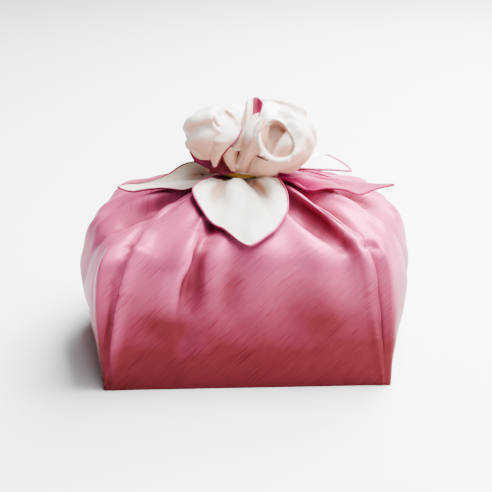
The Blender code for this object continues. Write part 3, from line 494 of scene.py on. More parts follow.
# How far the two faces of a lined sheet stand from its middle across its rim, from the lining's edge out
Rim = namedtuple("Rim", "share over under")
RIM = (
    Rim(0.12, 0.75, -0.80),
    Rim(0.32, 1.40, -0.95),
    Rim(0.58, 1.60, -1.00),
    Rim(0.82, 1.15, -0.75),
    Rim(1.00, 0.10, -0.15),
)
PRESSED_FULL = 5.0  # how deep a wrinkle is where its painted shade is deepest
PRESSED_WIDTH = 8.0  # the width from which a wrinkle's painted shade grows weaker
LIFT_SMOOTHS = 14  # times that a leaf's lift is evened out once it is shared
LIFT_MORE = 1.12
SHEET_HALF = 0.5  # half the thickness of a lined sheet
CLOTH_THICK = 1.0  # from the outer face of the cloth to its inner face
LINING_SHARE = 0.80  # how far out the lining lies inside the bundle, as a share of the outer cloth
HELD_RIM = 0.15  # the rim's share of its width on the rows that the band holds
RIM_STARTS = 0.05  # share of the rim from which a face has the rim's cloth
OVER_ALL = 400  # a height over every piece

# The flat size of each piece's share of the cut, in metres
LEAF_FLATS = {"front": (0.10, 0.10), "left": (0.045, 0.11), "right": (0.05, 0.13), "back": (0.085, 0.09)}

# The cloth on the front, back and rim of each free strip, its rim's width, its share of the flat cut and
# how deep its painted shade grows as it turns down
Strip = namedtuple("Strip", "name front back edge rim wide long shade")
STRIPS = (
    Strip("flap", "lining", "outer", "outer", 2.2, 0.030, 0.050, 1.8),
    Strip("wall", "lining", "outer", "lining", 0.8, 0.026, 0.060, 1.7),
    Strip("channel", "outer", "lining", "outer", 0.5, 0.034, 0.036, 1.0),
    Strip("shoulder", "lining", "outer", "lining", 0.8, 0.028, 0.036, 1.3),
    Strip("petal", "lining", "outer", "lining", 0.8, 0.032, 0.068, 3.0),
    Strip("ruffle", "lining", "outer", "outer", 1.4, 0.020, 0.030, 2.0),
    Strip("tuck", "outer", "outer", "outer", 0.6, 0.024, 0.024, 3.0),
    Strip("under", "outer", "outer", "outer", 0.6, 0.030, 0.022, 3.0),
    Strip("lobe", "lining", "outer", "lining", 0.8, 0.030, 0.034, 2.0),
    Strip("inner", "lining", "lining", "lining", 0.8, 0.024, 0.032, 4.0),
)
STRIP_STEPS = 0.6  # length of a strip's mesh steps

# How a wrinkle is shaped: its reach in widths, and the share of its length over which its strength changes
WRINKLE_STEPS = 24
RIDGE_REACH = 2.6
LAP_REACH = 5.0
LAP_FADES = 2.5  # from here a lap fades out to its reach
LAP_FALL = 3.0  # how slowly a lap's raised side sinks again
LAP_DIP_AT = 1.8
LAP_DIP = 0.4  # the groove beside a lap, as a share of its height
FADE_IN = 0.4
FADE_OUT = 0.45

# The slow unevenness of the outer cloth
SETTLE_HEIGHT = 0.45
SETTLE_PITCH = 74
SETTLE_FULL = 20  # height over the floor from which it is full
BASE_ROWS = (0.0, 0.35, 0.7, 0.97)  # rows of points on the base, as shares of the way out
SHARP_FOLD = 62  # degrees

# The swelling round a puff's mouth, by share of the mouth's angle, and the ends of the puff's rows
MOUTH_FROM = 0.45
LIP_AT = 1.25
LIP_ROWS_TO = 1.4
LIP_WIDTH = 8.0  # degrees
LIP_RISE = 0.06  # share of the puff's size
FIRST_ROW = 0.5  # degrees from the middle of the mouth
LAST_ROW = 179
WELD_GAP = 2e-6  # metres

# How the painted shade grows: as a face turns down, towards the floor, and where a fold is pressed in,
# lighter where a lap stands out
DOWN_TURN = (-0.45, 0.75)
NEAR_FLOOR = (20, 148)
FLOOR_PAINTED_SHADE = 0.72
SUNK_PAINTED_SHADE = 0.7
SUNK_LIMITS = (-0.5, 1)
OUTER_PAINTED_SHADE = 0.48
PUFF_PAINTED_SHADE = 1.25

SIDE_ANGLES = (45, 135, 45, 135)  # how the cloth's threads lie on each side of the bundle


def steps(low, high, count):
    """count + 1 even steps from low to high."""
    return np.linspace(low, high, count + 1)


def smooth_step(low, high, value):
    """0 under low, 1 over high, and smooth between."""
    t = np.clip((value - low) / (high - low), 0, 1)
    return t * t * (3 - 2 * t)


def bent(t, start, end, leaving, arriving):
    """A cubic curve from start to end by the ways in which it leaves and arrives."""
    return (
        start * (1 + 2 * t) * (1 - t) ** 2
        + leaving * t * (1 - t) ** 2
        + end * t * t * (3 - 2 * t)
        + arriving * t * t * (t - 1)
    )


def arc_through(start, middle, end, t):
    """A soft curve from start to end by way of middle."""
    return start * (1 - t) * (1 - 2 * t) + middle * 4 * t * (1 - t) + end * t * (2 * t - 1)


def curve_through(places, values, at):
    """A smooth curve through values at places, read at the given places."""
    places = np.asarray(places, float)
    values = np.asarray(values, float)
    slopes = np.gradient(values, places)
    i = np.clip(np.searchsorted(places, at, side="right") - 1, 0, len(places) - 2)
    wide = places[i + 1] - places[i]
    t = (at - places[i]) / wide
    return bent(t, values[i], values[i + 1], slopes[i] * wide, slopes[i + 1] * wide)


def direction(bearing):
    """Unit vectors in plan at these bearings in degrees."""
    turn = np.radians(bearing)
    return np.stack([np.cos(turn), np.sin(turn)], axis=-1)


def facing(bearing, rise):
    """The unit vector of a bearing and a rise in degrees."""
    lift = math.radians(rise)
    return np.array([*(direction(bearing) * math.cos(lift)), math.sin(lift)])


def box_plan(along):
    """The point of the box shape's outline at a side number and share, and the way out from it."""
    corners = np.array([(-1, -1), (1, -1), (1, 1), (-1, 1)], float)
    corners *= (BUNDLE_WIDTH / 2, BUNDLE_DEPTH / 2)
    side = np.floor(along).astype(int) % 4
    share = (along - np.floor(along))[:, None]
    point = corners[side] * (1 - share) + corners[(side + 1) % 4] * share
    nearest = np.round(along)
    turn = np.clip((along - nearest) / CORNER_TURN, -1, 1)
    return point, direction(nearest * 90 - 135 + turn * 45)


def softened(line, reach):
    """A line of points with its bends rounded over that reach, and its ends kept."""
    spans = np.linalg.norm(np.diff(line, axis=0), axis=1)
    length = spans.sum()
    even = np.linspace(0, length, FINE_STEPS + 1)
    along = np.concatenate([[0], np.cumsum(spans)])
    points = np.stack([np.interp(even, along, line[:, k]) for k in range(3)], axis=1)
    lag = even[:, None] - even[None, :]
    weight = np.exp(-0.5 * (lag / reach) ** 2)
    room = np.minimum(even, length - even)
    weight = np.where(np.abs(lag) <= room[:, None] + 1e-6, weight, 0)
    smooth = weight @ points / weight.sum(axis=1, keepdims=True)
    return np.stack([np.interp(along, even, smooth[:, k]) for k in range(3)], axis=1)


def fold_line(fold, side_steps, top_steps):
    """One fold line from the base, up the side and over the top to the neck."""
    foot = fold.low * BASE_SHARE
    share = fold.base + (fold.top - fold.base) * side_steps**LEAN_POWER
    out = curve_through(SIDE_STATIONS, (foot, fold.low, fold.mid, fold.edge), side_steps)
    point, way = box_plan(share)
    side = np.column_stack([point + way * out[:, None], EDGE_HEIGHT * side_steps])
    start = side[-1, :2]
    bend = NECK_SWEEP * direction(fold.bearing)
    end = NECK_RADIUS * direction(fold.bearing)
    t = top_steps[1:, None]
    plan = start * (1 - t) ** 2 + bend * 2 * t * (1 - t) + end * t * t
    t = top_steps[1:]
    rise = curve_through(TOP_STATIONS, (0, fold.dome, fold.rim, 0), t)
    height = EDGE_HEIGHT + (NECK_HEIGHT - EDGE_HEIGHT) * t**SLOPE_POWER
    height += SLOPE_CROWN * 4 * t * (1 - t) + rise
    return np.vstack([side, np.column_stack([plan, height])])


def across(points, creases, count, closed=True):
    """A smooth curve through points, with count steps between each two."""
    if not closed:
        ends = 2 * points[[0, -1]] - points[[1, -2]]
        points = np.vstack([ends[:1], points, ends[1:]])
        creases = np.concatenate([[0], creases, [0]])
    after = np.roll(points, -1, axis=0)
    ahead = np.linalg.norm(after - points, axis=1)[:, None] + 1e-9
    behind = np.roll(ahead, 1, axis=0)
    way = behind * (after - points) / ahead
    way = way + ahead * (points - np.roll(points, 1, axis=0)) / behind
    way = way / (ahead + behind) * (1 - creases)[:, None]
    after_way = np.roll(way, -1, axis=0)
    t = (np.arange(count) / count)[None, :, None]
    ends = (points, after, way * ahead, after_way * ahead)
    ring = bent(t, *(end[:, None, :] for end in ends))
    if closed:
        return ring.reshape(-1, 3)
    return np.vstack([ring[1:-2].reshape(-1, 3), points[-2:-1]])


def grid_normals(grid, closed=False):
    """The unit normals of a grid of points whose rows run outwards or up and columns counter-clockwise."""
    out = np.gradient(grid, axis=0)
    if closed:
        beside = (np.roll(grid, -1, axis=1) - np.roll(grid, 1, axis=1)) / 2
    else:
        beside = np.gradient(grid, axis=1)
    normal = np.cross(out, beside)
    return normal / (np.linalg.norm(normal, axis=2, keepdims=True) + 1e-9)


def wrinkled(points, normals, piece):
    """Points moved along their normals by each wrinkle of the piece, and how far in each is pressed."""
    flat = points.reshape(-1, 3)
    up = normals.reshape(-1, 3)
    moved = np.zeros(len(flat))
    pressed = np.zeros(len(flat))
    t = steps(0, 1, WRINKLE_STEPS)[:, None]
    for row in WRINKLES:
        if row.piece != piece:
            continue
        ends = np.array([row[2:5], row[5:8], row[8:11]], float)
        ends = np.array([flat[np.argmin(((flat - end) ** 2).sum(axis=1))] for end in ends])
        line = arc_through(*ends, t)
        reach = row.width * (LAP_REACH if row.lap else RIDGE_REACH)
        near = np.all((flat > line.min(axis=0) - reach) & (flat < line.max(axis=0) + reach), axis=1)
        here = np.flatnonzero(near)
        if not len(here):
            raise ValueError(f"wrinkle {row.name} is not near {piece}")
        gaps = flat[here, None] - line[None]
        closest = np.argmin((gaps**2).sum(axis=2), axis=1)
        run = np.gradient(line, axis=0)[closest]
        run /= np.linalg.norm(run, axis=1, keepdims=True)
        gap = gaps[np.arange(len(here)), closest]
        past = (gap * run).sum(axis=1)
        past[(closest > 0) & (closest < len(t) - 1)] = 0
        aside = (gap * np.cross(up[here], run)).sum(axis=1)
        apart = np.linalg.norm(gap, axis=1) / row.width
        shape = np.exp(-(apart**2))
        if row.lap:
            side = aside * row.lap / row.width
            shape = smooth_step(-1, 1, side) * np.exp(-np.maximum(side, 0) / LAP_FALL)
            shape -= LAP_DIP * np.exp(-((side + LAP_DIP_AT) ** 2))
            shape *= np.exp(-((past / row.width) ** 2)) * (1 - smooth_step(LAP_FADES, LAP_REACH, apart))
        share = closest / (len(t) - 1)
        strength = row.start + (1 - row.start) * smooth_step(0, FADE_IN, share)
        strength *= row.end + (1 - row.end) * smooth_step(0, FADE_OUT, 1 - share)
        rise = row.height * shape * strength
        moved[here] += rise
        # Pressed folds feed the painted shade: hollows darken, and a lap's raised side is lightened as a
        # painted highlight
        if row.lap or row.height < 0:
            pressed[here] -= rise / PRESSED_FULL * min(1, PRESSED_WIDTH / row.width)
    shape = points.shape[:2]
    return points + normals * moved.reshape(*shape, 1), pressed.reshape(shape)


def uneven(points, normals, height, pitch):
    """Points moved along their normals by a slow, settled unevenness."""
    x, y, z = (points[:, :, k] * 2 * math.pi / pitch for k in range(3))
    wave = np.sin(x + 1.3 * np.sin(0.7 * z + 1.0)) * np.sin(0.9 * y + 1.7 * np.sin(0.6 * x))
    wave += 0.6 * np.sin(1.9 * z + 1.1 * y + 0.8 * np.sin(1.3 * x))
    return points + normals * (height * wave)[:, :, None]


def bundle_grid():
    """The bundle's surface as rows of points from the base's edge to the neck, with its bends rounded."""
    half = FINE_STEPS // 2
    lines = np.stack(
        [softened(fold_line(f, steps(0, 1, half), steps(0, 1, half)), EDGE_SOFTNESS) for f in FOLDS]
    )
    creases = np.array([f.crease for f in FOLDS])
    places = np.concatenate(
        [steps(0, half, ROWS_UP_SIDE), steps(half, 2 * half, ROWS_OVER_TOP)[1:]]
    )
    rows = []
    for place in places:
        low = int(min(place, 2 * half - 1))
        line = lines[:, low] * (1 - place + low) + lines[:, low + 1] * (place - low)
        rows.append(across(line, creases, STEPS_ACROSS_FOLD))
    return np.array(rows)


def add_piece(name, points, faces, places, materials, slots=None, sunk=None, turn_shade=1.0):
    """A finished object from points and faces in millimetres, with a UV map of places in metres.

    There is one place for each point, or one for each corner of the faces. The shade attribute is painted
    shade: it grows as a face turns down or nears the floor, and by how far each point is sunk in a fold.
    """
    data = bpy.data.meshes.new(name)
    data.from_pydata((np.asarray(points) * MM).tolist(), [], faces)
    corner = np.zeros(len(data.loops), dtype=np.int64)
    data.loops.foreach_get("vertex_index", corner)
    layer = data.uv_layers.new(name="cloth")
    if len(places) != len(corner):
        places = np.asarray(places)[corner]
    layer.data.foreach_set("uv", (np.asarray(places) * MM).ravel())
    for material in materials:
        data.materials.append(material)
    if slots is not None:
        data.polygons.foreach_set("material_index", slots)
    data.shade_smooth()
    data.validate()
    up = np.zeros(len(data.vertices) * 3)
    data.vertices.foreach_get("normal", up)
    # Painted shade: darker on faces that turn down, near the floor and in sunk folds, lighter on raised
    # laps
    low = 1 - smooth_step(*NEAR_FLOOR, np.asarray(points)[:, 2])
    shade = turn_shade * (1 - smooth_step(*DOWN_TURN, up[2::3])) + FLOOR_PAINTED_SHADE * low
    if sunk is not None:
        shade += SUNK_PAINTED_SHADE * np.clip(sunk, *SUNK_LIMITS)
    data.attributes.new("shade", "FLOAT", "POINT").data.foreach_set("value", np.clip(shade, 0, 1))
    obj = bpy.data.objects.new(name, data)
    bpy.context.scene.collection.objects.link(obj)
    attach(obj, "root")
    return obj


def ring_faces(rows, columns, first=0):
    """The quads of a closed skin of rings, rows upwards and columns counter-clockwise."""
    faces = []
    for i in range(rows - 1):
        for j in range(columns):
            k = (j + 1) % columns
            low, high = first + i * columns, first + (i + 1) * columns
            faces.append((low + j, low + k, high + k, high + j))
    return faces


def sheet_faces(rows, columns, first=0, turned=False):
    """The quads of an open sheet of rows and columns of points."""
    faces = []
    for i in range(rows - 1):
        for j in range(columns - 1):
            a = first + i * columns + j
            face = (a, a + columns, a + columns + 1, a + 1)
            faces.append(face[::-1] if turned else face)
    return faces


def beyond(edge, inner, rim):
    """Points that much further out than an edge, away from the points next to it."""
    way = edge - inner
    return edge + way / (np.linalg.norm(way, axis=-1, keepdims=True) + 1e-9) * rim


def widened(grid, rim, held):
    """A sheet's grid with its rim round its sides and far end, and each point's share of the rim."""
    left, right = grid[:, :1], grid[:, -1:]
    hold = np.ones((len(grid), 1, 1))
    hold[:held] = HELD_RIM
    lefts = [left + (beyond(left, grid[:, 1:2], rim * r.share) - left) * hold for r in RIM]
    rights = [right + (beyond(right, grid[:, -2:-1], rim * r.share) - right) * hold for r in RIM]
    wide = np.hstack(lefts[::-1] + [grid] + rights)
    ends = [beyond(wide[-1:], wide[-2:-1], rim * r.share) for r in RIM]
    shares = np.zeros(wide.shape[:2])
    tally = np.array([r.share for r in RIM])
    shares[:, : len(RIM)] = tally[::-1]
    shares[:, -len(RIM) :] = tally
    tail = np.maximum(tally[:, None], shares[-1][None, :])
    return np.vstack([wide] + ends), np.vstack([shares, tail])


def lined_sheet(name, grid, rim, held, materials, over, under, piece, turn_shade=1.0):
    """A piece of both cloths from its middle surface: outer cloth rolled round the lining's edge as a rim.

    over and under are the material slots of its two faces, and slot 0 is the rim's.
    """
    wide, share = widened(grid, rim, held)
    normal = grid_normals(wide)
    wide, pressed = wrinkled(wide, normal, piece)
    normal = grid_normals(wide)
    marks = [0] + [r.share for r in RIM]
    above = np.interp(share, marks, [SHEET_HALF] + [r.over for r in RIM])
    below = np.interp(share, marks, [-SHEET_HALF] + [r.under for r in RIM])
    rows, columns = share.shape
    points = np.vstack(
        [(wide + normal * side[:, :, None]).reshape(-1, 3) for side in (above, below)]
    )
    count = rows * columns
    faces = sheet_faces(rows, columns) + sheet_faces(rows, columns, count, turned=True)
    cell = np.maximum.reduce([share[:-1, :-1], share[1:, :-1], share[:-1, 1:], share[1:, 1:]])
    inside = (cell.ravel() < RIM_STARTS).astype(int)
    slots = np.concatenate([inside * over, inside * under])
    edge = [i * columns for i in range(rows)]
    edge += [(rows - 1) * columns + j for j in range(1, columns)]
    edge += [i * columns + columns - 1 for i in range(rows - 2, -1, -1)]
    edge += [j for j in range(columns - 2, 0, -1)]
    for a, b in zip(edge, edge[1:] + edge[:1]):
        faces.append((a, a + count, b + count, b))
    slots = np.concatenate([slots, np.zeros(len(edge), int)])
    spans = np.linalg.norm(np.diff(wide, axis=0), axis=2)
    down = np.vstack([np.zeros(columns), np.cumsum(spans, axis=0)])
    gaps = np.linalg.norm(np.diff(wide, axis=1), axis=2)
    beside = np.hstack([np.zeros((rows, 1)), np.cumsum(gaps, axis=1)])
    beside -= beside.mean(axis=1, keepdims=True)
    places = np.stack([down + beside, beside - down], axis=2).reshape(-1, 2) * math.sqrt(0.5)
    return add_piece(
        name, points, faces, np.tile(places, (2, 1)), materials, slots.tolist(),
        sunk=np.tile(pressed.ravel(), 2), turn_shade=turn_shade,
    )


def height_over(tree, point):
    """The greatest height of a surface round about a point, in millimetres."""
    highest = 0.0
    for x, y in ((0, 0), (LEAF_FEEL, 0), (-LEAF_FEEL, 0), (0, LEAF_FEEL), (0, -LEAF_FEEL)):
        high = Vector((point[0] + x, point[1] + y, OVER_ALL)) * MM
        hit = tree.ray_cast(high, Vector((0, 0, -1)))[0]
        if hit:
            highest = max(highest, hit.z / MM)
    return highest


def leaf_grid(leaf, bundle):
    """A leaf's middle surface from the neck outwards, lying on the bundle where it reaches it."""
    ribs = [rib for rib in RIBS if rib.leaf == leaf]
    creases = np.array([rib.crease for rib in ribs])
    start = np.array([(*(LEAF_CLEAR * direction(rib.root)), LEAF_FOOT) for rib in ribs])
    end = np.array([(rib.x, rib.y, rib.z) for rib in ribs], float)
    bow = np.array([rib.bow for rib in ribs])
    grid = []
    for radius in (LEAF_CORE, LEAF_WALL):
        points = start * (radius / LEAF_CLEAR, radius / LEAF_CLEAR, 1)
        grid.append(across(points, creases, STEPS_ACROSS_RIB, closed=False))
    for t in steps(0, 1, ROWS_ALONG_LEAF):
        points = start * (1 - t) + end * t
        points[:, 2] += bow * BOW_PEAK * t * (1 - t) ** BOW_LEAN
        grid.append(across(points, creases, STEPS_ACROSS_RIB, closed=False))
    grid = np.array(grid)
    free = grid[LEAF_HELD_ROWS:]
    under = np.array([[height_over(bundle, point) for point in row] for row in free])
    lift = np.maximum(under + LEAF_REST - free[:, :, 2], 0)
    for spread in range(LIFT_SPREADS + LIFT_SMOOTHS):
        wide = np.pad(lift, 1, mode="edge")
        beside = (wide[:-2, 1:-1] + wide[2:, 1:-1] + wide[1:-1, :-2] + wide[1:-1, 2:]) / 4
        even = (lift + beside) / 2
        lift = np.maximum(lift, even) if spread < LIFT_SPREADS else even
    free[:, :, 2] += lift * LIFT_MORE
    return grid


def crease_height(crease, way):
    """How far a fold stands out in each direction from the middle of its puff."""
    first = facing(crease.bearing, crease.rise)
    last = facing(crease.to_bearing, crease.to_rise)
    run = last - first
    t = np.clip((way - first) @ run / (run @ run), 0, 1)
    nearest = first + t[:, None] * run
    nearest /= np.linalg.norm(nearest, axis=1, keepdims=True)
    apart = np.degrees(np.arccos(np.clip((way * nearest).sum(axis=1), -1, 1)))
    return crease.height * np.exp(-((apart / crease.width) ** 2))


def puff_axes(puff):
    """The way that a puff's mouth faces, and the ways to the side of it and above it."""
    way = facing(puff.bearing, puff.rise)
    aside = np.cross(way, (0, 0, 1))
    aside /= np.linalg.norm(aside)
    return way, aside, np.cross(aside, way)


def puff_points(puff, way):
    """The points of a puff in each unit direction from its middle."""
    size = np.array([puff.wide, puff.long, puff.high], float)
    middle = np.array([puff.x, puff.y, puff.z], float)
    mouth = facing(puff.bearing, puff.rise)
    apart = np.degrees(np.arccos(np.clip(way @ mouth, -1, 1)))
    depth = 0 if puff.name in LIPS else puff.depth
    reach = 1 - depth * (1 - smooth_step(puff.mouth * MOUTH_FROM, puff.mouth, apart))
    reach += LIP_RISE * np.exp(-(((apart - puff.mouth * LIP_AT) / LIP_WIDTH) ** 2))
    raised = sum(crease_height(c, way) for c in CREASES if c.puff == puff.name)
    points = middle + way * (size * reach[:, None] + raised[:, None])
    home = (np.array(ROOT) - middle) / size
    home /= np.linalg.norm(home)
    hold = ROOT_HOLD * smooth_step(ROOT_FROM, 1, way @ home)[:, None]
    return points * (1 - hold) + np.array(ROOT) * hold


def closed_normals(grid):
    """The normals of a grid whose last column meets its first."""
    normal = grid_normals(grid[:, :-1], closed=True)
    return np.hstack([normal, normal[:, :1]])


def mouth_sunk(points, puff):
    """Points of a puff with those inside its lip moved in, and how far in each is, from 0 to 1."""
    if puff.name not in LIPS:
        return points, np.zeros(points.shape[:2])
    lips = np.array(LIPS[puff.name], float)
    way, aside, above = puff_axes(puff)
    flat = np.stack([points @ aside, points @ above], axis=-1).reshape(-1, 2)
    outline = np.stack([lips @ aside, lips @ above, np.zeros(len(lips))], axis=1)
    outline = across(outline, np.zeros(len(lips)), 8)[:, :2]
    after = np.roll(outline, -1, axis=0)
    inside = np.zeros(len(flat), bool)
    for (ax, ay), (bx, by) in zip(outline, after):
        spans = (ay > flat[:, 1]) != (by > flat[:, 1])
        cut = ax + (flat[:, 1] - ay) * (bx - ax) / (by - ay + 1e-12)
        inside ^= spans & (flat[:, 0] < cut)
    apart = np.min(np.linalg.norm(flat[:, None] - outline[None], axis=2), axis=1)
    front = ((points - np.array([puff.x, puff.y, puff.z])) @ way).ravel() > 0
    sunk = np.where(inside & front, smooth_step(0, MOUTH_WALL, apart), 0).reshape(points.shape[:2])
    return points - sunk[:, :, None] * MOUTH_DEPTH * way, sunk


def add_puff(puff, materials):
    """A puff skinned in rings round its mouth, from the floor of the mouth to the far side."""
    mouth, aside, above = puff_axes(puff)
    turn = steps(0, 2 * math.pi, PUFF_TURNS)[:, None]
    lip_end = puff.mouth * LIP_ROWS_TO
    angles = np.concatenate(
        [
            np.linspace(FIRST_ROW, lip_end, PUFF_MOUTH_ROWS),
            np.linspace(lip_end, LAST_ROW, PUFF_ROWS)[1:],
        ]
    )
    rings = []
    for angle in np.radians(angles):
        way = np.cos(angle) * mouth + np.sin(angle) * (np.cos(turn) * aside + np.sin(turn) * above)
        rings.append(puff_points(puff, way))
    grid = np.array(rings)
    grid, pressed = wrinkled(grid, -closed_normals(grid), f"puff_{puff.name}")
    grid, sunk = mouth_sunk(grid, puff)
    rows, columns = grid.shape[:2]
    girth = (puff.wide + puff.long + puff.high) / 3
    along = np.radians(angles)[:, None] * girth * np.ones(columns)
    beside = turn[:, 0][None, :] * girth * np.ones((rows, 1))
    places = np.stack([beside, along], axis=2).reshape(-1, 2)
    faces = sheet_faces(rows, columns, turned=True)
    inner = grid + closed_normals(grid) * CLOTH_THICK
    faces += sheet_faces(rows, columns, rows * columns)
    points = np.vstack([grid.reshape(-1, 3), inner.reshape(-1, 3)])
    # Painted shade: the mouth's depth and the pressed folds darken the puff inside its mouth and creases
    sunk = np.tile((sunk + pressed).ravel(), 2)
    places = np.tile(places, (2, 1))
    obj = add_piece(
        f"puff_{puff.name}", points, faces, places, materials, sunk=sunk, turn_shade=PUFF_PAINTED_SHADE
    )
    weld(obj)
    return obj


def weld(obj):
    """Merges the points where a surface meets itself, keeps its UV map, and points its faces outwards."""
    mesh = bmesh.new()
    mesh.from_mesh(obj.data)
    bmesh.ops.remove_doubles(mesh, verts=mesh.verts, dist=WELD_GAP)
    bmesh.ops.recalc_face_normals(mesh, faces=mesh.faces)
    mesh.to_mesh(obj.data)
    mesh.free()


def strip_grid(strip, rows, columns):
    """The middle surface of a free strip through its sections."""
    sections = np.array([s[2:] for s in SECTIONS if s.strip == strip], float)
    down = np.linspace(0, len(sections) - 1, rows)
    lines = np.stack(
        [curve_through(np.arange(len(sections)), sections[:, k], down) for k in range(9)], axis=1
    ).reshape(rows, 3, 3)
    t = np.linspace(0, 1, columns)[None, :, None]
    return arc_through(*(lines[:, k, None] for k in range(3)), t)


def add_collar(materials):
    """The lining's small folds round the neck above the band."""
    places = np.arange(len(COLLAR))
    fine = np.linspace(0, len(COLLAR) - 1, COLLAR_ROWS)
    z, radius, flute = (curve_through(places, column, fine) for column in zip(*COLLAR))
    turn = np.radians(steps(0, 360, COLLAR_STEPS))[None, :]
    wave = np.cos(turn * COLLAR_FOLDS + np.sin(turn * 3))
    spread = radius[:, None] + COLLAR_FLUTE * flute[:, None] * wave
    height = z[:, None] * np.ones_like(turn)
    grid = np.stack([spread * np.cos(turn), spread * np.sin(turn), height], axis=2)
    rows, columns = grid.shape[:2]
    faces = [face[::-1] for face in sheet_faces(rows, columns)]
    places = np.stack([turn * COLLAR_MIDDLE * np.ones((rows, 1)), height], axis=2).reshape(-1, 2)
    obj = add_piece("lining_collar", grid.reshape(-1, 3), faces, places, materials)
    weld(obj)
    return obj


class Wire:
    """A node's output that can be used in sums, each adding its Math node."""

    def __init__(self, finish, socket):
        self.finish = finish
        self.socket = socket

    def maths(self, operation, other):
        return self.finish.node("ShaderNodeMath", {"operation": operation}, {0: self, 1: other})

    def __add__(self, other):
        return self.maths("ADD", other)

    def __sub__(self, other):
        return self.maths("SUBTRACT", other)

    def __mul__(self, other):
        return self.maths("MULTIPLY", other)


class Finish:
    """A material being made, with its Principled shader and one way to add any node."""

    def __init__(self, name, **constants):
        self.material = bpy.data.materials.new(name)
        self.material.use_nodes = True
        self.tree = self.material.node_tree
        self.shader = self.tree.nodes["Principled BSDF"]
        for socket, value in constants.items():
            self.shader.inputs[socket.replace("_", " ")].default_value = value

    def node(self, kind, settings, inputs, output=0):
        """A node of that kind: its settings first, then the values or wires of its inputs."""
        made = self.tree.nodes.new(kind)
        for name, value in settings.items():
            setattr(made, name, value)
        for name, value in inputs.items():
            if isinstance(value, Wire):
                self.tree.links.new(value.socket, made.inputs[name])
            else:
                made.inputs[name].default_value = value
        return Wire(self, made.outputs[output])

    def noise(self, vector, scale, detail):
        """Values about 0.5 that change slowly over a surface."""
        settings = {"noise_dimensions": "3D"}
        return self.node(
            "ShaderNodeTexNoise", settings, {"Vector": vector, "Scale": scale, "Detail": detail}
        )

    def drawn_out(self, vector, marks, detail):
        """Noise with that many marks to the metre along each axis."""
        mapped = self.node("ShaderNodeMapping", {}, {"Vector": vector, "Scale": marks})
        return self.noise(mapped, 1.0, detail)

    def mask(self, value, low, high):
        """0 under low, 1 over high, and smooth between."""
        limits = {"Value": value, "From Min": low, "From Max": high}
        return self.node("ShaderNodeMapRange", {"interpolation_type": "SMOOTHSTEP"}, limits)

    def mixed(self, share, first, second, blend="MIX"):
        """A colour between two, or between the first and its product with the second."""
        settings = {"data_type": "RGBA", "blend_type": blend}
        return self.node("ShaderNodeMix", settings, {0: share, 6: first, 7: second}, output=2)

    def set(self, socket, wire):
        self.tree.links.new(wire.socket, self.shader.inputs[socket])

    def raise_by(self, height, distance):
        """Bumps the surface by a height in metres at full value."""
        inputs = {"Height": height, "Distance": distance, "Strength": 1.0}
        self.set("Normal", self.node("ShaderNodeBump", {}, inputs))


def tinted(colour, factor):
    """A colour made darker or lighter by a factor for each channel."""
    return (*[min(1.0, c * f) for c, f in zip(colour, factor)], 1.0)


# How many marks each pattern of the silk has to the metre, along the threads and across them
SLUB_MARKS = (24.0, 640.0, 1.0)
FINE_MARKS = (60.0, 760.0, 1.0)
STREAK_MARKS = (5.0, 120.0, 1.0)
WEAVE_MARKS = (900.0, 1900.0, 1.0)
WORN_TINT = (1.06, 1.08, 1.08)
SILK_BUMP = 0.00022
BAND_BUMP = 0.00012

# One row for each silk: the setting of its colour, and the tints of its slubs, its streaks and its painted
# shade, darker in folds and where a face turns down or nears the floor, as factors of its colour for each
# channel
Silk = namedtuple("Silk", "colour slub streak shade finish")
SILKS = {
    "outer_silk": Silk(
        "outer_colour", (0.66, 0.34, 0.46), (0.95, 0.87, 0.90), (0.21, 0.165, 0.098),
        dict(Roughness=0.38, Metallic=0.22, Specular_IOR_Level=0.06, Specular_Tint=(0.75, 0.40, 0.50, 1.0)),
    ),
    "leaf_silk": Silk(
        "leaf_colour", (1.08, 1.5, 1.3), (0.9, 0.8, 0.88), (0.6, 0.45, 0.5),
        dict(Roughness=0.5, Specular_IOR_Level=0.12, Specular_Tint=(1.0, 0.45, 0.68, 1.0)),
    ),
    "lining_silk": Silk(
        "lining_colour", (0.80, 0.76, 0.70), (0.96, 0.95, 0.93), (0.60, 0.31, 0.23),
        dict(Roughness=0.46, Sheen_Weight=0.2, Sheen_Roughness=0.4, Specular_IOR_Level=0.45),
    ),
}


def silk(context, name):
    """Plain-woven silk with slubs: short thick threads that run along the cloth's threads."""
    if name in bpy.data.materials:
        return bpy.data.materials[name]
    look = context.scene.wrap_cloth
    row = SILKS[name]
    colour = tuple(getattr(look, row.colour))
    finish = Finish(name, **row.finish)
    place = finish.node("ShaderNodeUVMap", {"uv_map": "cloth"}, {})
    slow = finish.noise(place, 9.0, 2.0)
    wander = finish.noise(place, 26.0, 1.0)
    thick = finish.mask(finish.drawn_out(place, SLUB_MARKS, 1.0), 0.59, 0.67)
    fine = finish.drawn_out(place, FINE_MARKS, 1.0)
    band = finish.drawn_out(place, STREAK_MARKS, 2.0)
    weave = finish.drawn_out(place, WEAVE_MARKS, 0.0)
    marks = thick * finish.mask(wander, 0.40, 0.60) * look.slubs
    base = finish.mixed(finish.mask(band, 0.3, 0.7), (*colour, 1.0), tinted(colour, row.streak))
    toned = finish.mixed(finish.mask(fine, 0.35, 0.7) * 0.3, base, tinted(colour, row.slub))
    worn = finish.mixed(finish.mask(slow, 0.35, 0.7) * 0.2, toned, tinted(colour, WORN_TINT))
    marked = finish.mixed(marks * 0.95, worn, tinted(colour, row.slub))
    # Painted shade: the shade attribute multiplies the colour towards the silk's shade tint
    shade = finish.node("ShaderNodeAttribute", {"attribute_name": "shade"}, {}, output=2)
    finish.set("Base Color", finish.mixed(shade, marked, (*row.shade, 1.0), blend="MULTIPLY"))
    finish.set("Roughness", (band - 0.5) * 0.12 + marks * 0.08 + row.finish["Roughness"])
    finish.raise_by(marks * 0.5 + fine * 0.3 + band * 0.25 + weave * 0.2, SILK_BUMP)
    return finish.material


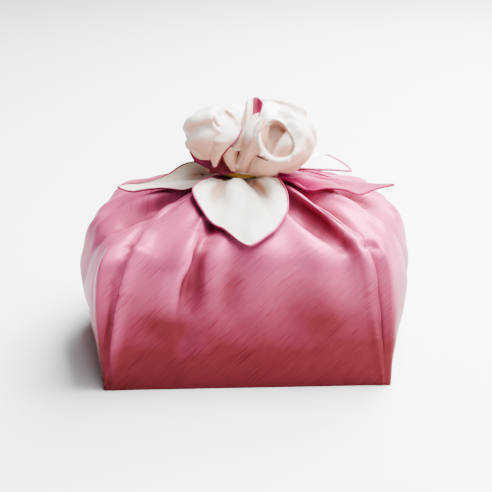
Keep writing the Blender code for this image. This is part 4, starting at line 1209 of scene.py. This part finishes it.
def rubber(name, colour):
    """Worn band rubber, cloudy and a little gritty."""
    finish = Finish(name, Roughness=0.5, Specular_IOR_Level=0.5)
    place = finish.node("ShaderNodeTexCoord", {}, {}, output=3)
    cloud = finish.noise(place, 160.0, 3.0)
    grit = finish.noise(place, 2600.0, 2.0)
    dark, light = tinted(colour, (0.75, 0.7, 0.7)), tinted(colour, (1.25, 1.25, 1.3))
    finish.set("Base Color", finish.mixed(cloud, dark, light))
    finish.set("Roughness", grit * 0.2 + 0.38)
    finish.raise_by(grit * 0.6 + cloud * 0.4, BAND_BUMP)
    return finish.material


def floor_paper(name, colour):
    """Plain pale paper for the floor."""
    finish = Finish(name, Roughness=0.9)
    place = finish.node("ShaderNodeTexCoord", {}, {}, output=3)
    grain = finish.noise(place, 30.0, 2.0)
    finish.set("Base Color", finish.mixed(grain * 0.3, (*colour, 1.0), tinted(colour, (0.98, 0.98, 0.98))))
    return finish.material


def colour_setting(name, description, default):
    """A colour that a user can change."""
    return bpy.props.FloatVectorProperty(
        name=name, description=description, subtype="COLOR", size=3, min=0, max=1, default=default
    )


class WrapCloth(bpy.types.PropertyGroup):
    """Sizes and colours of the two cloths."""

    outer_colour: colour_setting("Outer cloth", "Colour of the outer silk", (0.49, 0.076, 0.184))
    leaf_colour: colour_setting(
        "Leaf underside", "Colour of the outer silk where it is turned over", (0.28, 0.004, 0.068)
    )
    lining_colour: colour_setting("Lining", "Colour of the lining silk", (0.84, 0.76, 0.67))
    rim: bpy.props.FloatProperty(
        name="Rim", description="Width of the outer cloth rolled round the lining's edge",
        default=LEAF_RIM * RIM_ROLL * MM, min=0.0005, max=0.006, unit="LENGTH",
    )
    slubs: bpy.props.FloatProperty(
        name="Slubs", description="How strongly the thick threads show", subtype="FACTOR",
        default=0.8, min=0, max=1,
    )


class WrapBand(bpy.types.PropertyGroup):
    """Sizes and colour of the elastic band."""

    cord: bpy.props.FloatProperty(
        name="Cord", description="Radius of one turn of the band",
        default=BAND_CORD * MM, min=0.0005, max=0.003, unit="LENGTH",
    )
    colour: colour_setting("Band", "Colour of the band", (0.50, 0.29, 0.035))


class WrapStage(bpy.types.PropertyGroup):
    """The floor, lights and camera."""

    floor_colour: colour_setting("Floor", "Colour of the floor", (0.96, 0.96, 0.96))
    light: bpy.props.FloatProperty(
        name="Light", description="Strength of the studio lights", default=1.0, min=0, max=10,
    )


def bundle_surface(grid):
    """The bundle's finished surface from its base's middle to the neck, and how far in it is pressed."""
    normal = grid_normals(grid, closed=True)
    normal[0, :, 2] = 0
    grid, pressed = wrinkled(grid, -normal, "outer")
    settle = smooth_step(0, SETTLE_FULL, grid[:, :, 2])[:, :, None]
    grid = grid + (uneven(grid, -normal, SETTLE_HEIGHT, SETTLE_PITCH) - grid) * settle
    neck = grid[-1:].copy()
    neck[:, :, 2] = CORE_TOP
    base = [grid[:1] * share for share in BASE_ROWS]
    return np.vstack(base + [grid, neck]), np.pad(pressed, ((len(base), 1), (0, 0)))


def cloth_places(flat, faces, base_faces):
    """Where each face's corners lie in the flat cloth, in millimetres along and across its threads."""
    columns = len(FOLDS) * STEPS_ACROSS_FOLD
    grid = flat.reshape(-1, columns, 3)
    spans = np.linalg.norm(np.diff(grid, axis=0), axis=2)
    up = np.repeat(np.concatenate([[0], np.cumsum(spans.mean(axis=1))]), columns)
    bases = np.repeat([f.base for f in FOLDS], STEPS_ACROSS_FOLD)
    side = np.floor(bases + 1e-6).astype(int) % 4
    side = np.tile(side, len(faces) // columns)
    corner = np.array(faces)
    ways = np.array([(1, 0), (0, 1), (-1, 0), (0, -1)])[side]
    turn = np.radians(SIDE_ANGLES)[side][:, None]
    beside = (flat[corner][:, :, :2] * ways[:, None]).sum(axis=2)
    along = beside * np.cos(turn) + up[corner] * np.sin(turn)
    over = up[corner] * np.cos(turn) - beside * np.sin(turn)
    base = np.arange(len(faces)) < base_faces
    x, y = flat[corner][base][:, :, 0], flat[corner][base][:, :, 1]
    along[base] = (x - y) * math.sqrt(0.5)
    over[base] = (x + y) * math.sqrt(0.5)
    return np.stack([along, over], axis=2).reshape(-1, 2)


class WRAP_OT_outer_cloth(bpy.types.Operator):
    """Lays the outer cloth over the bundle, with its folds, and the lining on its inner face"""

    bl_idname = "wrap.outer_cloth"
    bl_label = "Outer cloth"

    def execute(self, context):
        plain = bundle_grid()
        grid, pressed = bundle_surface(plain)
        rows, columns = grid.shape[:2]
        faces = ring_faces(rows, columns)
        flat = grid.reshape(-1, 3)
        places = cloth_places(flat, faces, len(BASE_ROWS) * columns)
        inner = plain[::2, ::2] * LINING_SHARE + (0, 0, CLOTH_THICK)
        inner = np.vstack([inner[:1] * (0, 0, 1), inner])
        lining = [face[::-1] for face in ring_faces(*inner.shape[:2], len(flat))]
        points = np.vstack([flat, inner.reshape(-1, 3)])
        lining_places = points[np.array(lining)][:, :, :2].reshape(-1, 2)
        slots = [0] * len(faces) + [1] * len(lining)
        materials = [silk(context, name) for name in ("outer_silk", "lining_silk")]
        obj = add_piece(
            "outer_wrap", points, faces + lining, np.vstack([places, lining_places]), materials, slots,
            sunk=np.pad(pressed.ravel(), (0, len(points) - len(flat))), turn_shade=OUTER_PAINTED_SHADE,
        )
        obj.data.set_sharp_from_angle(angle=math.radians(SHARP_FOLD))
        weld(obj)
        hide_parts("outer_cloth")
        return {"FINISHED"}


def bundle_tree():
    """The bundle's surface to lay the leaves on."""
    source = bpy.data.objects["outer_wrap"].data
    points = [vertex.co for vertex in source.vertices]
    return BVHTree.FromPolygons(points, [tuple(face.vertices) for face in source.polygons])


class WRAP_OT_leaves(bpy.types.Operator):
    """Adds the four corner leaves that come out under the band"""

    bl_idname = "wrap.leaves"
    bl_label = "Leaves"

    def execute(self, context):
        tree = bundle_tree()
        rim = context.scene.wrap_cloth.rim / MM
        for leaf, flat in LEAF_FLATS.items():
            turned = leaf not in LINED_LEAVES
            edge = "leaf_silk" if turned else "outer_silk"
            materials = [silk(context, edge), silk(context, "lining_silk")]
            obj = lined_sheet(
                f"leaf_{leaf}", leaf_grid(leaf, tree), rim, LEAF_HELD_ROWS, materials,
                0 if turned else 1, 1 if turned else 0, leaf,
            )
        return {"FINISHED"}


class WRAP_OT_puffs(bpy.types.Operator):
    """Adds the puffs of lining above the band and the collar of small folds under them"""

    bl_idname = "wrap.puffs"
    bl_label = "Puffs"

    def execute(self, context):
        materials = [silk(context, "lining_silk")]
        collar = add_collar(materials)
        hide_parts("lining_cloth")
        for puff in PUFFS:
            obj = add_puff(puff, materials)
        return {"FINISHED"}


class WRAP_OT_strips(bpy.types.Operator):
    """Adds the free flap, the standing fold and the other laps of cloth among the puffs"""

    bl_idname = "wrap.strips"
    bl_label = "Flap and folds"

    def execute(self, context):
        cloths = {cloth: silk(context, f"{cloth}_silk") for cloth in ("outer", "lining")}
        for strip in STRIPS:
            rows = round(strip.long / MM / STRIP_STEPS)
            columns = round(strip.wide / MM / STRIP_STEPS)
            grid = strip_grid(strip.name, rows, columns)
            materials = [cloths[strip.edge], cloths[strip.front], cloths[strip.back]]
            obj = lined_sheet(
                strip.name, grid, strip.rim, 0, materials, 1, 2, strip.name, strip.shade
            )
        return {"FINISHED"}


class WRAP_OT_band(bpy.types.Operator):
    """Adds the elastic band round the neck, turn by turn"""

    bl_idname = "wrap.band"
    bl_label = "Elastic band"

    def execute(self, context):
        look = context.scene.wrap_band
        cord = look.cord
        bpy.ops.object.select_all(action="DESELECT")
        turns = []
        for turn in range(BAND_TURNS):
            height = BAND_HEIGHT * MM + (turn - (BAND_TURNS - 1) / 2) * cord * BAND_PITCH
            bpy.ops.mesh.primitive_torus_add(
                location=(0, 0, height), major_radius=BAND_RADIUS * MM, minor_radius=cord,
                major_segments=BAND_STEPS, minor_segments=CORD_STEPS,
                rotation=(BAND_TILT[0] * (turn - 1), BAND_TILT[1] * (1 - turn), turn),
            )
            turns.append(context.object)
            bpy.ops.object.transform_apply(location=True, rotation=True, scale=True)
        for obj in turns:
            obj.select_set(True)
        context.view_layer.objects.active = turns[0]
        bpy.ops.object.join()
        band = context.object
        band.name = "band"
        bpy.ops.object.shade_smooth()
        band.data.materials.clear()
        band.data.materials.append(rubber("band_rubber", tuple(look.colour)))
        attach(band, "root")
        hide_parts("elastic_band")
        bpy.ops.object.select_all(action="DESELECT")
        return {"FINISHED"}


def add_light(light, strength):
    """A soft square light that looks at the wrap."""
    data = bpy.data.lights.new(light.name, "AREA")
    data.shape = "SQUARE"
    data.size = light.size
    data.energy = light.power * strength
    obj = bpy.data.objects.new(light.name, data)
    bpy.context.scene.collection.objects.link(obj)
    place = Vector((light.x, light.y, light.z))
    obj.location = place * MM
    way = (Vector(LIGHT_AIM) - place) * MM
    obj.rotation_euler = way.to_track_quat("-Z", "Y").to_euler()


class WRAP_OT_stage(bpy.types.Operator):
    """Adds the floor, the studio lights and the camera"""

    bl_idname = "wrap.stage"
    bl_label = "Stage"

    def execute(self, context):
        look = context.scene.wrap_stage
        bpy.ops.object.select_all(action="DESELECT")
        bpy.ops.mesh.primitive_plane_add(size=FLOOR_SIZE, location=(0, 0, FLOOR_DROP))
        floor = context.object
        floor.name = "floor"
        floor.data.materials.append(floor_paper("floor_paper", tuple(look.floor_colour)))
        world = bpy.data.worlds.new("studio")
        context.scene.world = world
        world.use_nodes = True
        sky = world.node_tree.nodes["Background"]
        sky.inputs["Color"].default_value = (1, 1, 1, 1)
        sky.inputs["Strength"].default_value = SKY_LIGHT * look.light
        for light in LIGHTS:
            add_light(light, look.light)
        rise, roll = math.radians(CAMERA_RISE), math.radians(CAMERA_ROLL)
        back = Vector((0, -math.cos(rise), math.sin(rise)))
        right = Vector((1, 0, 0))
        up = Vector((0, math.sin(rise), math.cos(rise)))
        across_view = right * math.cos(roll) - up * math.sin(roll)
        up_view = up * math.cos(roll) + right * math.sin(roll)
        lens = bpy.data.cameras.new("camera")
        lens.lens = CAMERA_LENS
        lens.sensor_width = CAMERA_SENSOR
        camera = bpy.data.objects.new("camera", lens)
        context.scene.collection.objects.link(camera)
        place = (Vector(CAMERA_AIM) + back * CAMERA_AWAY) * MM
        turned = Matrix((across_view, up_view, back)).transposed().to_4x4()
        camera.matrix_world = Matrix.Translation(place) @ turned
        context.scene.camera = camera
        return {"FINISHED"}


class WRAP_PT_panel(bpy.types.Panel):
    """Lists the wrap's sizes, colours and pieces"""

    bl_label = "Furoshiki wrap"
    bl_space_type = "VIEW_3D"
    bl_region_type = "UI"
    bl_category = "Wrap"

    def draw(self, context):
        for group in ("wrap_cloth", "wrap_band", "wrap_stage"):
            box = self.layout.box()
            settings = getattr(context.scene, group)
            for name in settings.__annotations__:
                box.prop(settings, name)
        for operator in OPERATORS:
            self.layout.operator(operator.bl_idname)


GROUPS = {"wrap_cloth": WrapCloth, "wrap_band": WrapBand, "wrap_stage": WrapStage}
OPERATORS = (
    WRAP_OT_outer_cloth,
    WRAP_OT_leaves,
    WRAP_OT_puffs,
    WRAP_OT_strips,
    WRAP_OT_band,
    WRAP_OT_stage,
)


def register():
    for group in GROUPS.values():
        bpy.utils.register_class(group)
    for made in OPERATORS + (WRAP_PT_panel,):
        bpy.utils.register_class(made)
    for name, group in GROUPS.items():
        setattr(bpy.types.Scene, name, bpy.props.PointerProperty(type=group))


def unregister():
    for name in GROUPS:
        delattr(bpy.types.Scene, name)
    for made in (WRAP_PT_panel,) + OPERATORS[::-1]:
        bpy.utils.unregister_class(made)
    for group in GROUPS.values():
        bpy.utils.unregister_class(group)


def main():
    """Builds every piece in order."""
    register()
    bpy.ops.wrap.outer_cloth()
    bpy.ops.wrap.leaves()
    bpy.ops.wrap.puffs()
    bpy.ops.wrap.strips()
    bpy.ops.wrap.band()
    bpy.ops.wrap.stage()


if __name__ == "__main__":
    main()
